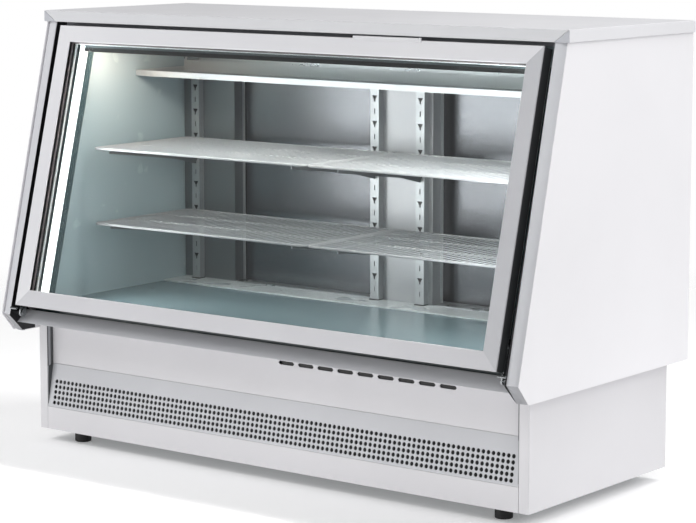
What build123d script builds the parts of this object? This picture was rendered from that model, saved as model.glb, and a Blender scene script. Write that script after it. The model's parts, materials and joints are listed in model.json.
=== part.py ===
from build123d import *
import os
from math import cos, radians, sin, tan

# Refrigerated display case: a sloped glass front that tips forward on two low pivots,
# two wire shelf levels, two rear sliding doors and a machine plinth with a pierced grille.
# Millimetres. X runs along the counter, Y from front to rear, Z up from the floor.
# The origin is on the floor, midway along the case and midway between nose and rear.

# Outer cabinet
case_width = 1500.0
case_depth = 698.0
slab_underside_z = 1020.0
slab_thickness = 27.0
slab_overhang = 5.0
slab_edge = 1.0
end_panel_thickness = 32.5
front_lean_deg = 14.36
nose_z = 320.0
end_bottom_z = 278.0
nose_return = 45.0
trim_sheet = 2.0

# Insulated shell
liner_thickness = 23.5
deck_top_z = 342.0
deck_thickness = 38.0
ceiling_thickness = 30.0
rear_frame_depth = 77.0
jamb_depth = 34.0
opening_inner_x = 93.0
opening_end_gap = 191.5
opening_bottom_z = 347.0
opening_top_z = 880.0
header_depth = 40.0
sill_height = 36.0
breaker_depth = 4.0
breaker_lap = 3.0
breaker_joint = 1.0
threshold_depth = 88.0
threshold_thickness = 3.0

# Front glass door, measured along and square to the sloped front
door_side_gap = 20.5
door_bottom_s = 28.0
door_top_s = 713.0
door_proud = 7.0
door_frame_face = 40.0
door_frame_depth = 34.0
frame_wall = 28.0
front_lip = 5.0
bead_front = 2.5
pane_thickness = 4.0
spacer_depth = 11.0
spacer_width = 9.0
pane_edge_gap = 1.0
gasket_width = 20.0
gasket_depth = 10.0
gasket_inset = 4.0
pull_end_gap = 317.0
pull_length = 185.0
pull_height = 5.0
pull_sheet = 2.0
pull_back_n = -18.0

# Door pivots and stops
pivot_s = 14.0
pivot_n = -25.0
pivot_radius = 5.0
pivot_head_radius = 8.0
pivot_head_thickness = 3.0
arm_thickness = 4.0
arm_width = 14.0
arm_length = 86.0
arm_hub_reach = 10.0
arm_clip_share = 0.45
bolt_sides = 6
open_angle_deg = 50.0
stop_radius = 3.0
stop_reach = 22.0

# Clearances, and how far a cutting body runs past what it cuts
running_gap = 0.05
seal_gap = 0.3
fit_gap = 0.5
side_gap = 2.0
slide_gap = 0.7
overrun = 1.0

# Apron, lower front and plinth
fold_setback = 27.0
apron_sheet = 2.0
apron_angle_deg = 38.0
apron_height = 26.0
plinth_bottom_z = 30.0
plinth_front_setback = 99.0
plinth_rear_setback = 34.5
plinth_panel_thickness = 26.0
board_edge = 1.5
lower_recess = 20.0
panel_sheet = 2.0
panel_return = 12.0
panel_bend = 1.8
grille_top_z = 190.0
grille_bottom_z = 86.0
hole_pitch = 13.0
hole_diameter = 9.0
hole_sides = 4
hole_rows = 5
hole_row_offset = 11.0
grille_end_margin = 16.0
slot_count = 9
slot_pitch = 56.0
slot_length = 45.0
slot_height = 9.0
slot_end_share = 0.4
slot_end_gap = 196.2
slot_z = 274.0
louvre_count = 7
louvre_pitch = 24.0
louvre_length = 240.0
louvre_height = 8.0
louvre_first_z = 80.0
louvre_group_gap = 90.0
louvre_end_gap = 239.2
tray_sheet = 2.0
tray_lip = 12.0
foot_radius = 20.0
foot_inset_x = 130.0
foot_inset_front = 50.0
foot_inset_rear = 44.5

# Pilasters, brackets and wire shelves
pilaster_width = 25.0
pilaster_depth = 18.0
pilaster_sheet = 2.0
pilaster_inner_x = 68.0
pilaster_end_gap = 52.0
keyhole_pitch = 62.0
keyhole_count = 8
keyhole_first_z = 404.0
keyhole_top_width = 12.0
keyhole_foot_width = 3.0
keyhole_height = 12.0
shelf_keyholes = (1, 4)
shelf_rise = 59.0
shelf_depth = 354.0
shelf_inner_x = 4.0
shelf_end_gap = 29.0
shelf_rear_gap = 2.0
rim_wire = 6.0
cross_wire = 5.0
deck_wire = 3.0
wire_pitch = 25.0
bracket_sheet = 3.0
bracket_lap = 10.0
bracket_front_height = 12.0
bracket_length = 320.0
bracket_knee_reach = 0.25
bracket_knee_rise = 0.3
bracket_tab = 6.0
bracket_tab_height = 9.0

# Drip tray, cooling coil and lamps
drip_front_setback = 183.0
drip_bottom_z = 875.0
drip_lip = 14.0
drip_sheet = 1.5
drip_rear_lip = 30.0
coil_depth = 130.0
coil_height = 36.0
coil_end_gap = 94.0
coil_hang = 8.0
coil_wall_gap = 22.0
coil_tube_radius = 6.0
coil_tube_rows = 4
coil_plate = 3.0
fin_inset = 2.0
hanger_width = 20.0
hanger_count = 4
post_depth = 50.0
post_width = 35.0
lens_width = 27.0
lens_stand = 3.0
lens_front_edge = 1.5
lens_end_gap = 10.0
lens_proud = 2.0
lens_chamfer = 1.8
top_lamp_height = 18.0
top_lamp_depth = 36.0
top_lamp_end_gap = 60.0
top_lamp_gap = 3.0
top_lamp_flat_share = 0.6

# Rear sliding doors
slide_door_thickness = 17.0
slide_door_lap = 18.0
inner_track_offset = 2.0
track_gap = 3.0
track_floor = 3.0
track_drop = 14.0
pull_cup_width = 34.0
pull_cup_height = 120.0
pull_cup_depth = 11.0
pull_cup_wall = 1.5
pull_cup_flange = 5.0
pull_cup_inset = 26.0
pull_cup_z = 610.0

# Machinery in the plinth
facet_sides = 16
condenser_width = 300.0
condenser_height = 190.0
condenser_depth = 50.0
condenser_end_gap = 109.2
condenser_front_gap = 30.0
condenser_tube_radius = 5.0
condenser_bends = 3
condenser_bend_reach = 15.0
shroud_depth = 24.0
shroud_sheet = 2.0
fan_bore_radius = 73.0
fan_tip_gap = 3.0
blade_count = 5
blade_thickness = 2.0
blade_pitch_deg = 30.0
blade_width = 34.0
blade_root_lap = 4.0
blade_tip_trim = 4.0
hub_radius = 22.0
hub_depth = 18.0
hub_face = 3.0
shaft_radius = 4.0
motor_radius = 34.0
motor_depth = 46.0
motor_cap = 6.0
motor_cap_share = 0.6
motor_gap = 6.0
motor_arm = 12.0
bridge_sheet = 3.0
bridge_hole_share = 0.7
shaft_clearance = 2.0
compressor_radius = 78.0
compressor_height = 165.0
compressor_from_condenser = 370.0
compressor_y = 120.0
compressor_dome = 35.0
compressor_dome_taper = 48.0
compressor_seam = 4.0
compressor_seam_drop = 30.0
compressor_foot = 4.0
compressor_foot_reach = 22.0
compressor_foot_share = 0.6
mount_pad_radius = 12.0
mount_pad_height = 14.0
mount_pad_inset = 14.0
mount_pad_sides = 6
pan_width = 330.0
pan_depth = 240.0
pan_height = 45.0
pan_from_compressor = 360.0
pan_y = 40.0
pan_sheet = 1.5
line_radius = 5.0
pipe_sides = 6
drier_radius = 12.0
drier_length = 90.0
line_outlet_rise = 60.0
line_side_reach = 62.0
line_top_drop = 25.0
line_rear_step = 12.0
line_low_rise = 20.0
drier_side_step = 70.0
drier_rear_step = 60.0
box_width = 150.0
box_height = 110.0
box_depth = 90.0
box_end_gap = 54.2
box_z = 130.0
box_leg_sheet = 2.0
knob_radius = 19.0
knob_depth = 16.0
knob_grip = 5.0
knob_grip_half = 4.0
knob_grip_edge = 2.0
knob_shaft_radius = 3.0

# Sizes worked out from the driving dimensions
half_width = case_width / 2
nose_y = -case_depth / 2
rear_y = case_depth / 2
lean = radians(front_lean_deg)
slab_top_z = slab_underside_z + slab_thickness
end_inner_x = half_width - end_panel_thickness
door_half_width = end_inner_x - door_side_gap
liner_x = end_inner_x - liner_thickness
opening_outer_x = end_inner_x - opening_end_gap
pilaster_outer_x = liner_x - pilaster_end_gap
shelf_outer_x = liner_x - shelf_end_gap
coil_half_length = liner_x - coil_end_gap
pull_x1 = door_half_width - pull_end_gap
ceiling_z = slab_underside_z - ceiling_thickness
deck_underside_z = deck_top_z - deck_thickness
wall_y = rear_y - rear_frame_depth
track_front_y = wall_y + jamb_depth
door_back_n = door_proud - door_frame_depth
seat_n = door_back_n - gasket_depth - seal_gap
post_back_n = seat_n - post_depth
header_back_n = seat_n - header_depth
inner_half_width = door_half_width - door_frame_face
inner_bottom_s = door_bottom_s + door_frame_face
inner_top_s = door_top_s - door_frame_face
header_bottom_s = inner_top_s + 3.0
sill_bottom_s = door_bottom_s + 2.0
sill_top_s = sill_bottom_s + sill_height
plinth_x = end_inner_x - side_gap
plinth_inner_x = plinth_x - plinth_panel_thickness
plinth_front_y = nose_y + plinth_front_setback
plinth_rear_y = rear_y - plinth_rear_setback
lower_half_width = plinth_inner_x - seal_gap
slot_first_x = lower_half_width - slot_end_gap - (slot_count - 1) * slot_pitch
condenser_x = -lower_half_width + condenser_end_gap + condenser_width / 2
compressor_x = condenser_x + compressor_from_condenser
pan_x = compressor_x + pan_from_compressor
box_x = lower_half_width - box_end_gap - box_width / 2
louvre_first_x = -lower_half_width + louvre_end_gap + louvre_length / 2
louvre_xs = (louvre_first_x, louvre_first_x + louvre_length + louvre_group_gap)
lower_panel_y = plinth_front_y + lower_recess
flange_bottom_z = deck_underside_z - apron_sheet
grille_length = ((grille_top_z - grille_bottom_z) ** 2 + lower_recess ** 2) ** 0.5
fold_y = nose_y + fold_setback
apron_rear_y = lower_panel_y + panel_return
drip_front_y = wall_y - drip_front_setback
coil_top_z = ceiling_z - coil_hang
coil_rear_y = wall_y - coil_wall_gap
pilaster_front_y = wall_y - pilaster_depth
shelf_heights = [keyhole_first_z + index * keyhole_pitch + shelf_rise for index in shelf_keyholes]
pilaster_xs = (-pilaster_outer_x, -pilaster_inner_x, pilaster_inner_x, pilaster_outer_x)
tray_floor_z = plinth_bottom_z + tray_sheet
inner_door_y = track_front_y + inner_track_offset
outer_door_y = inner_door_y + slide_door_thickness + track_gap
track_zone_bottom_z = opening_bottom_z - track_drop
track_zone_top_z = opening_top_z + track_drop
slide_door_bottom_z = track_zone_bottom_z + track_floor
slide_door_top_z = track_zone_top_z - track_floor
slide_door_outer_x = opening_outer_x + slide_door_lap
slide_door_inner_x = opening_inner_x - slide_door_lap
stile_track_x = slide_door_outer_x + side_gap


def block(x0, x1, y0, y1, z0, z1):
    """A box between two corners."""
    size = Box(x1 - x0, y1 - y0, z1 - z0)
    return Pos((x0 + x1) / 2, (y0 + y1) / 2, (z0 + z1) / 2) * size


def lean_point(s, n):
    """Y and Z of a point s up the sloped front and n out from it."""
    y = nose_y + s * sin(lean) - n * cos(lean)
    z = nose_z + s * cos(lean) + n * sin(lean)
    return (y, z)


def lean_y(z, n):
    """Y of the sloped plane n out from the front, at height z."""
    return nose_y + (z - nose_z) * tan(lean) - n / cos(lean)


def side_profile(points, x0, x1):
    """A solid of one outline in Y and Z, run along X."""
    outline = Plane.YZ.offset(x0) * make_face(Polyline(*points, close=True))
    return extrude(outline, amount=x1 - x0, dir=(1, 0, 0))


def slope_plane():
    """The sloped front as a plane: X across, Y up the slope, Z outwards."""
    return Plane(origin=(0, nose_y, nose_z), x_dir=(1, 0, 0), z_dir=(0, -cos(lean), sin(lean)))


def lean_block(x0, x1, s0, s1, n0, n1):
    """A box square to the sloped front."""
    centre = Pos((x0 + x1) / 2, (s0 + s1) / 2, (n0 + n1) / 2)
    return slope_plane().location * centre * Box(x1 - x0, s1 - s0, n1 - n0)


def lean_prism(points, n0, n1):
    """An outline on the sloped front, run square to it."""
    outline = slope_plane().offset(n0) * make_face(Polyline(*points, close=True))
    return extrude(outline, amount=n1 - n0, dir=(0, -cos(lean), sin(lean)))


def x_cylinder(radius, x0, x1, y, z):
    """A round bar along X."""
    return Pos((x0 + x1) / 2, y, z) * Rot(0, 90, 0) * Cylinder(radius, x1 - x0)


def y_cylinder(radius, y0, y1, x, z):
    """A round bar along Y."""
    return Pos(x, (y0 + y1) / 2, z) * Rot(90, 0, 0) * Cylinder(radius, y1 - y0)


def y_prism(radius, y0, y1, x, z):
    """A bar along Y with flat facets, for the plain round forms of hidden machine parts."""
    plane = Plane(origin=(x, y0, z), x_dir=(1, 0, 0), z_dir=(0, 1, 0))
    return extrude(plane * RegularPolygon(radius, facet_sides), amount=y1 - y0, dir=(0, 1, 0))


def y_bore(radius, y0, y1, x, z):
    """A six-sided bore along Y whose flats clear a shaft of this radius."""
    plane = Plane(origin=(x, y0, z), x_dir=(1, 0, 0), z_dir=(0, 1, 0))
    outline = RegularPolygon(radius, pipe_sides, major_radius=False)
    return extrude(plane * outline, amount=y1 - y0, dir=(0, 1, 0))


def z_prism(radius, z0, z1, x, y, sides=None):
    """An upright bar with flat facets."""
    outline = Plane(origin=(x, y, z0)) * RegularPolygon(radius, sides or facet_sides)
    return extrude(outline, amount=z1 - z0, dir=(0, 0, 1))


def both_sides(shape):
    """A shape and its mirror image across the middle of the case."""
    return [shape, mirror(shape, about=Plane.YZ)]


def return_bend(origin, across, out, reach, radius):
    """A U-shaped return tube on the end plate of a coil, in three straight runs."""
    start = Vector(*origin) - Vector(*across) * reach
    end = Vector(*origin) + Vector(*across) * reach
    depth = Vector(*out) * reach
    path = Polyline(start, start + depth, end + depth, end)
    section = Plane(origin=start, x_dir=across, z_dir=out) * Rectangle(radius * 2, radius * 2)
    return sweep(section, path=path, transition=Transition.RIGHT)


def group(solids):
    """Separate solids kept in one node."""
    kept = []
    for item in solids:
        kept.extend(item.solids())
    return Compound(children=kept)


# End panels, top and ceiling

def end_panel(side):
    """Foamed end panel with the sloped front and the nose that returns under it."""
    edge = trim_sheet
    outline = [
        (lean_y(slab_underside_z, -edge), slab_underside_z),
        (lean_y(nose_z, -edge), nose_z),
        (nose_y + nose_return + edge, end_bottom_z),
        (rear_y, end_bottom_z),
        (rear_y, slab_underside_z),
    ]
    x0, x1 = sorted((side * end_inner_x, side * half_width))
    return side_profile(outline, x0, x1)


def edge_trims():
    """Bent strips over the front edges of the two end panels."""
    outer = [
        (lean_y(slab_underside_z, 0), slab_underside_z),
        (nose_y, nose_z),
        (nose_y + nose_return, end_bottom_z),
    ]
    inner = [
        (nose_y + nose_return + trim_sheet, end_bottom_z),
        (lean_y(nose_z, -trim_sheet), nose_z),
        (lean_y(slab_underside_z, -trim_sheet), slab_underside_z),
    ]
    return group(both_sides(side_profile(outer + inner, end_inner_x, half_width)))


slab_front_y = lean_y(slab_underside_z, 0) - slab_overhang


def top_panel():
    """Flat top over the whole case, behind its front trim."""
    edge_x = half_width + slab_overhang
    slab = block(-edge_x, edge_x, slab_front_y + trim_sheet, rear_y, slab_underside_z, slab_top_z)
    return chamfer(slab.edges().filter_by(Axis.X).group_by(Axis.Z)[-1].sort_by(Axis.Y)[-1], slab_edge)


def top_trims():
    """Front band of the top, mitred to a corner piece above each end panel."""
    edge_x = half_width + slab_overhang
    low_z = slab_underside_z
    band = [(-edge_x, slab_top_z), (edge_x, slab_top_z), (end_inner_x, low_z), (-end_inner_x, low_z)]
    corner = [(edge_x, slab_top_z), (edge_x, low_z), (end_inner_x, low_z)]
    front = Plane.XZ.offset(-slab_front_y - trim_sheet)
    band_solid = extrude(front * make_face(Polyline(*band, close=True)), trim_sheet, dir=(0, -1, 0))
    corner_solid = extrude(front * make_face(Polyline(*corner, close=True)), trim_sheet,
                           dir=(0, -1, 0))
    return group([band_solid] + both_sides(corner_solid))


def ceiling_panel():
    """Insulated ceiling between the front header and the rear header."""
    outline = [
        (lean_y(ceiling_z, header_back_n), ceiling_z),
        (lean_y(slab_underside_z, header_back_n), slab_underside_z),
        (wall_y, slab_underside_z),
        (wall_y, ceiling_z),
    ]
    return side_profile(outline, -end_inner_x, end_inner_x)


def end_liners():
    """Inner end walls, cut to the slope at the front."""
    outline = [
        (lean_y(deck_top_z, post_back_n), deck_top_z),
        lean_point(sill_top_s, post_back_n),
        lean_point(sill_top_s, seat_n),
        lean_point(header_bottom_s, seat_n),
        lean_point(header_bottom_s, header_back_n),
        (lean_y(ceiling_z, header_back_n), ceiling_z),
        (wall_y, ceiling_z),
        (wall_y, deck_top_z),
    ]
    return group(both_sides(side_profile(outline, liner_x, end_inner_x)))


def front_header():
    """Front member over the display opening, which the door's top rail closes on."""
    outline = [
        lean_point(header_bottom_s, seat_n),
        (lean_y(slab_underside_z, seat_n), slab_underside_z),
        (lean_y(slab_underside_z, header_back_n), slab_underside_z),
        lean_point(header_bottom_s, header_back_n),
    ]
    return side_profile(outline, -end_inner_x, end_inner_x)


def front_sill():
    """Front member under the display opening, which the door's bottom rail closes on."""
    outline = [
        lean_point(sill_bottom_s, seat_n),
        lean_point(sill_top_s, seat_n),
        lean_point(sill_top_s, post_back_n),
        lean_point(sill_bottom_s, post_back_n),
    ]
    return side_profile(outline, -end_inner_x, end_inner_x)


def breaker_strips():
    """Dark strips in the gap round the door, one at each side and one along the top."""
    lap_s = door_top_s - breaker_lap
    side = lean_block(door_half_width + side_gap, end_inner_x, inner_bottom_s, lap_s - breaker_joint,
                      seat_n, seat_n + breaker_depth)
    top_edge = [
        lean_point(lap_s, seat_n),
        lean_point(lap_s, seat_n + breaker_depth),
        (lean_y(slab_underside_z, seat_n + breaker_depth), slab_underside_z),
        (lean_y(slab_underside_z, seat_n), slab_underside_z),
    ]
    return group(both_sides(side) + [side_profile(top_edge, -end_inner_x, end_inner_x)])


# Deck and lower front

def deck_panel():
    """Insulated floor of the display space, with its front end cut to the slope."""
    outline = [
        (lean_y(deck_underside_z, post_back_n), deck_underside_z),
        (lean_y(deck_top_z, post_back_n), deck_top_z),
        (wall_y, deck_top_z),
        (wall_y, deck_underside_z),
    ]
    return side_profile(outline, -end_inner_x, end_inner_x)


def threshold_plate():
    """Flat wear plate on the deck in front of the rear doors."""
    top_z = deck_top_z + threshold_thickness
    half = liner_x - fit_gap
    return block(-half, half, wall_y - threshold_depth, wall_y, deck_top_z, top_z)


def front_apron():
    """Bent sheet under the door: a sloped face down to the fold, then a flat flange back."""
    angle = radians(apron_angle_deg)
    skin = apron_sheet / sin(angle)
    rise_y = apron_height / tan(angle)
    corner_y = apron_sheet / tan(angle)
    outline = [
        (fold_y, flange_bottom_z),
        (apron_rear_y, flange_bottom_z),
        (apron_rear_y, deck_underside_z),
        (fold_y + skin + corner_y, deck_underside_z),
        (fold_y + rise_y + skin, flange_bottom_z + apron_height),
        (fold_y + rise_y, flange_bottom_z + apron_height),
    ]
    return side_profile(outline, -end_inner_x, end_inner_x)


def lower_front_panel():
    """Upright sheet under the apron: a row of air slots, and its lower edge bent back."""
    y = lower_panel_y
    outline = [
        (y, flange_bottom_z),
        (y, grille_top_z),
        (y + panel_return, grille_top_z),
        (y + panel_return, grille_top_z + panel_sheet),
        (y + panel_sheet, grille_top_z + panel_sheet),
        (y + panel_sheet, flange_bottom_z),
    ]
    sheet = side_profile(outline, -lower_half_width, lower_half_width)
    bend = sheet.edges().filter_by(Axis.X).group_by(Axis.Z)[0].sort_by(Axis.Y)[0]
    sheet = fillet(bend, panel_bend)
    hole = chamfer(Rectangle(slot_length, slot_height).vertices(), slot_height * slot_end_share)
    slot = extrude(Plane.XZ.offset(-y - panel_sheet) * hole, amount=panel_sheet, dir=(0, -1, 0))
    for index in range(slot_count):
        sheet -= Pos(slot_first_x + index * slot_pitch, 0, slot_z) * slot
    return sheet


def front_grille():
    """Tilted pierced sheet: one holed face, its holes in even rows and columns."""
    length = grille_length
    back = lower_recess / length
    up = (grille_top_z - grille_bottom_z) / length
    half = lower_half_width
    columns = int((2 * (half - grille_end_margin)) // hole_pitch) + 1
    first_x = -(columns - 1) * hole_pitch / 2
    radius = hole_diameter / 2
    corners = [(-half, 0), (half, 0), (half, length), (-half, length)]
    holes = []
    for column in range(columns):
        for row in range(hole_rows):
            x = first_x + column * hole_pitch
            v = hole_row_offset + row * hole_pitch
            ring = [
                (x + radius * cos(radians(90 + 360 / hole_sides * side)),
                 v + radius * sin(radians(90 + 360 / hole_sides * side)))
                for side in range(hole_sides)
            ]
            holes.append(Wire.make_polygon(ring, close=True))
    sheet = Face(Wire.make_polygon(corners, close=True), holes)
    tilt = Plane(origin=(0, plinth_front_y, grille_bottom_z), x_dir=(1, 0, 0), z_dir=(0, -up, back))
    return extrude(tilt * sheet, amount=panel_sheet, dir=(0, up, -back))


def kick_panel():
    """Upright sheet under the grille, flush with the plinth sides."""
    y = plinth_front_y
    top_z = grille_bottom_z - panel_sheet * lower_recess / grille_length - seal_gap
    outline = [
        (y, plinth_bottom_z),
        (y, top_z),
        (y + panel_sheet, top_z),
        (y + panel_sheet, plinth_bottom_z + panel_sheet),
        (y + tray_lip, plinth_bottom_z + panel_sheet),
        (y + tray_lip, plinth_bottom_z),
    ]
    return side_profile(outline, -lower_half_width, lower_half_width)


def plinth_sides():
    """The two side boards that carry the case, rebated for the apron's flange."""
    outline = [
        (plinth_front_y, plinth_bottom_z),
        (plinth_front_y, flange_bottom_z),
        (apron_rear_y, flange_bottom_z),
        (apron_rear_y, deck_underside_z),
        (plinth_rear_y, deck_underside_z),
        (plinth_rear_y, plinth_bottom_z),
    ]
    board = side_profile(outline, plinth_inner_x, plinth_x)
    board = chamfer(board.edges().filter_by(Axis.Z).group_by(Axis.Y)[0], board_edge)
    return group(both_sides(board))


def rear_louvre_panel():
    """Rear sheet of the plinth with two groups of air slots and a window for the controls."""
    width = 2 * lower_half_width
    height = deck_underside_z - plinth_bottom_z
    sheet = Pos(0, (deck_underside_z + plinth_bottom_z) / 2) * Rectangle(width, height)
    for group_x in louvre_xs:
        for index in range(louvre_count):
            slot_z_now = louvre_first_z + index * louvre_pitch
            sheet -= Pos(group_x, slot_z_now) * Rectangle(louvre_length, louvre_height)
    sheet -= Pos(box_x, box_z) * Rectangle(box_width + seal_gap, box_height + seal_gap)
    rear = Plane.XZ.offset(-plinth_rear_y)
    return extrude(rear * sheet, amount=panel_sheet, dir=(0, -1, 0))


def base_tray():
    """Bottom pan of the machine space with upturned front and rear lips."""
    front_y = plinth_front_y + tray_lip + seal_gap
    rear_edge = plinth_rear_y - panel_sheet
    floor = block(-lower_half_width, lower_half_width, front_y, rear_edge, plinth_bottom_z, tray_floor_z)
    lip_z = tray_floor_z + tray_lip
    front = block(-lower_half_width, lower_half_width, front_y, front_y + tray_sheet,
                  tray_floor_z, lip_z)
    rear = block(-lower_half_width, lower_half_width, rear_edge - tray_sheet, rear_edge,
                 tray_floor_z, lip_z)
    return floor + front + rear


def feet():
    """Four squat round rubber feet."""
    side_x = half_width - foot_inset_x
    spots = [
        (x, y)
        for x in (-side_x, side_x)
        for y in (plinth_front_y + foot_inset_front, plinth_rear_y - foot_inset_rear)
    ]
    return group([z_prism(foot_radius, 0, plinth_bottom_z, x, y) for x, y in spots])


# Rear frame

def rear_header():
    """Rear member over the two door openings."""
    outline = [
        (wall_y, opening_top_z),
        (track_front_y, opening_top_z),
        (track_front_y, track_zone_top_z),
        (rear_y, track_zone_top_z),
        (rear_y, slab_underside_z),
        (wall_y, slab_underside_z),
    ]
    return side_profile(outline, -end_inner_x, end_inner_x)


def rear_sill():
    """Rear member under the two door openings."""
    outline = [
        (wall_y, deck_underside_z),
        (wall_y, opening_bottom_z),
        (track_front_y, opening_bottom_z),
        (track_front_y, track_zone_bottom_z),
        (rear_y, track_zone_bottom_z),
        (rear_y, deck_underside_z),
    ]
    return side_profile(outline, -end_inner_x, end_inner_x)


def rear_stiles():
    """Rear uprights at the two ends, rebated for the sliding doors."""
    inner = block(opening_outer_x, end_inner_x, wall_y, track_front_y, opening_bottom_z, opening_top_z)
    outer = block(stile_track_x, end_inner_x, track_front_y, rear_y,
                  track_zone_bottom_z, track_zone_top_z)
    return group(both_sides(inner + outer))


def rear_mullion():
    """Middle upright in front of the door tracks."""
    return block(-opening_inner_x, opening_inner_x, wall_y, track_front_y,
                 opening_bottom_z, opening_top_z)


def door_tracks():
    """Lower and upper plastic tracks, each with two grooves."""
    ribs = [
        (track_front_y, inner_door_y - slide_gap),
        (inner_door_y + slide_door_thickness + slide_gap, outer_door_y - slide_gap),
        (outer_door_y + slide_door_thickness + slide_gap, rear_y),
    ]
    lower = block(-stile_track_x, stile_track_x, track_front_y, rear_y,
                  track_zone_bottom_z, slide_door_bottom_z - seal_gap)
    upper = block(-stile_track_x, stile_track_x, track_front_y, rear_y,
                  slide_door_top_z + slide_gap, track_zone_top_z)
    for y0, y1 in ribs:
        lower += block(-stile_track_x, stile_track_x, y0, y1, track_zone_bottom_z, opening_bottom_z)
        upper += block(-stile_track_x, stile_track_x, y0, y1, opening_top_z, track_zone_top_z)
    return group([lower, upper])


# Shelves

def pilasters():
    """Slotted shelf uprights: folded channels open at the back, with wedge-shaped keyholes."""
    bottom_z = deck_top_z + threshold_thickness
    top_z = drip_bottom_z - side_gap
    outer = Rectangle(pilaster_width, top_z - bottom_z)
    mid_z = (top_z + bottom_z) / 2
    face = Pos(0, mid_z) * outer
    foot, brow, half_key = keyhole_foot_width / 2, keyhole_top_width / 2, keyhole_height / 2
    wedge = [(-foot, -half_key), (foot, -half_key), (brow, half_key), (-brow, half_key)]
    keyhole = make_face(Polyline(*wedge, close=True))
    for index in range(keyhole_count):
        face -= Pos(0, keyhole_first_z + index * keyhole_pitch) * keyhole
    front = Plane.XZ.offset(-pilaster_front_y - pilaster_sheet)
    web = extrude(front * face, amount=pilaster_sheet, dir=(0, -1, 0))
    half = pilaster_width / 2
    side = block(half - pilaster_sheet, half, pilaster_front_y + pilaster_sheet, wall_y, bottom_z, top_z)
    strip = web + side + mirror(side, about=Plane.YZ)
    return group([Pos(x, 0, 0) * strip for x in pilaster_xs])


def bracket_outline(key_z, top_z):
    """Side view of a shelf bracket from its keyhole up to the shelf it carries."""
    rear = pilaster_front_y
    front = rear - bracket_length
    low_z = key_z - bracket_lap
    return [
        (rear, top_z),
        (rear, low_z),
        (rear - bracket_length * bracket_knee_reach, low_z + (top_z - low_z) * bracket_knee_rise),
        (front, top_z - bracket_front_height),
        (front, top_z),
    ]


def shelf_brackets():
    """Eight cantilever arms, one pair under each half shelf, hooked into the keyholes."""
    arms = []
    half = bracket_sheet / 2
    for height in shelf_heights:
        key_z = height - shelf_rise
        tab_half = bracket_tab_height / 2
        for x in pilaster_xs:
            arm = side_profile(bracket_outline(key_z, height - rim_wire), x - half, x + half)
            tab = block(x - half, x + half, pilaster_front_y, pilaster_front_y + bracket_tab,
                        key_z - tab_half, key_z + tab_half)
            arms.append(arm + tab)
    return group(arms)


def wire_shelf(side, height):
    """Half shelf: rim and cross wires below, fine wires from front to rear on top."""
    rear = pilaster_front_y - shelf_rear_gap
    front = rear - shelf_depth
    x0, x1 = sorted((side * shelf_inner_x, side * shelf_outer_x))
    top = height
    low = height - rim_wire
    wires = [
        block(x0, x1, front, front + rim_wire, low, top),
        block(x0, x1, rear - rim_wire, rear, low, top),
        block(x0, x0 + rim_wire, front + rim_wire, rear - rim_wire, low, top),
        block(x1 - rim_wire, x1, front + rim_wire, rear - rim_wire, low, top),
    ]
    deck_low = top - deck_wire
    for share in (1 / 3, 2 / 3):
        y = front + shelf_depth * share
        wires.append(block(x0 + rim_wire, x1 - rim_wire, y, y + cross_wire, low, deck_low))
    span = (x1 - x0) - 2 * rim_wire
    count = int(span // wire_pitch)
    step = span / (count + 1)
    for index in range(count):
        x = x0 + rim_wire + (index + 1) * step
        wires.append(block(x - deck_wire / 2, x + deck_wire / 2, front + rim_wire,
                           rear - rim_wire, deck_low, top))
    return group(wires)


# Cooling and lamps

def drip_tray():
    """Sheet tray under the coil, with a front lip and a rear flange on the wall."""
    half = liner_x - fit_gap
    rear = wall_y
    outline = [
        (drip_front_y, drip_bottom_z),
        (rear, drip_bottom_z),
        (rear, drip_bottom_z + drip_rear_lip),
        (rear - drip_sheet, drip_bottom_z + drip_rear_lip),
        (rear - drip_sheet, drip_bottom_z + drip_sheet),
        (drip_front_y + drip_sheet, drip_bottom_z + drip_sheet),
        (drip_front_y + drip_sheet, drip_bottom_z + drip_lip),
        (drip_front_y, drip_bottom_z + drip_lip),
    ]
    pan = side_profile(outline, -half, half)
    cap = block(half - drip_sheet, half, drip_front_y + drip_sheet, rear - drip_sheet,
                drip_bottom_z + drip_sheet, drip_bottom_z + drip_lip)
    return pan + cap + mirror(cap, about=Plane.YZ)


def evaporator_coil():
    """Finned cooling block hung from the ceiling, with end plates and return bends."""
    front_y = coil_rear_y - coil_depth
    low_z = coil_top_z - coil_height
    block_half = coil_half_length - coil_plate
    fins = block(-block_half, block_half, front_y + fin_inset, coil_rear_y - fin_inset,
                 low_z + fin_inset, coil_top_z - fin_inset)
    plate = block(block_half, coil_half_length, front_y, coil_rear_y, low_z, coil_top_z)
    solids = [fins] + both_sides(plate)
    spacing = coil_depth / coil_tube_rows
    mid_z = (low_z + coil_top_z) / 2
    for index in range(0, coil_tube_rows, 2):
        centre = (coil_half_length, front_y + spacing * (index + 1), mid_z)
        solids += both_sides(return_bend(centre, (0, 1, 0), (1, 0, 0), spacing / 2, coil_tube_radius))
    pitch = 2 * coil_half_length / hanger_count
    for index in range(hanger_count):
        x = -coil_half_length + pitch * (index + 0.5)
        solids.append(block(x - hanger_width / 2, x + hanger_width / 2, front_y, coil_rear_y,
                            coil_top_z - fin_inset, ceiling_z))
    return group(solids)


def lamp_posts():
    """Lamp channels that stand just behind the door at both ends of the opening."""
    post = lean_block(liner_x - post_width, liner_x, sill_top_s, header_bottom_s, post_back_n, seat_n)
    groove = lean_block(liner_x - post_width, liner_x - post_width + lens_stand,
                        sill_top_s + lens_end_gap, header_bottom_s - lens_end_gap,
                        seat_n - lens_front_edge - lens_width, seat_n - lens_front_edge)
    return group(both_sides(post - groove))


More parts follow.
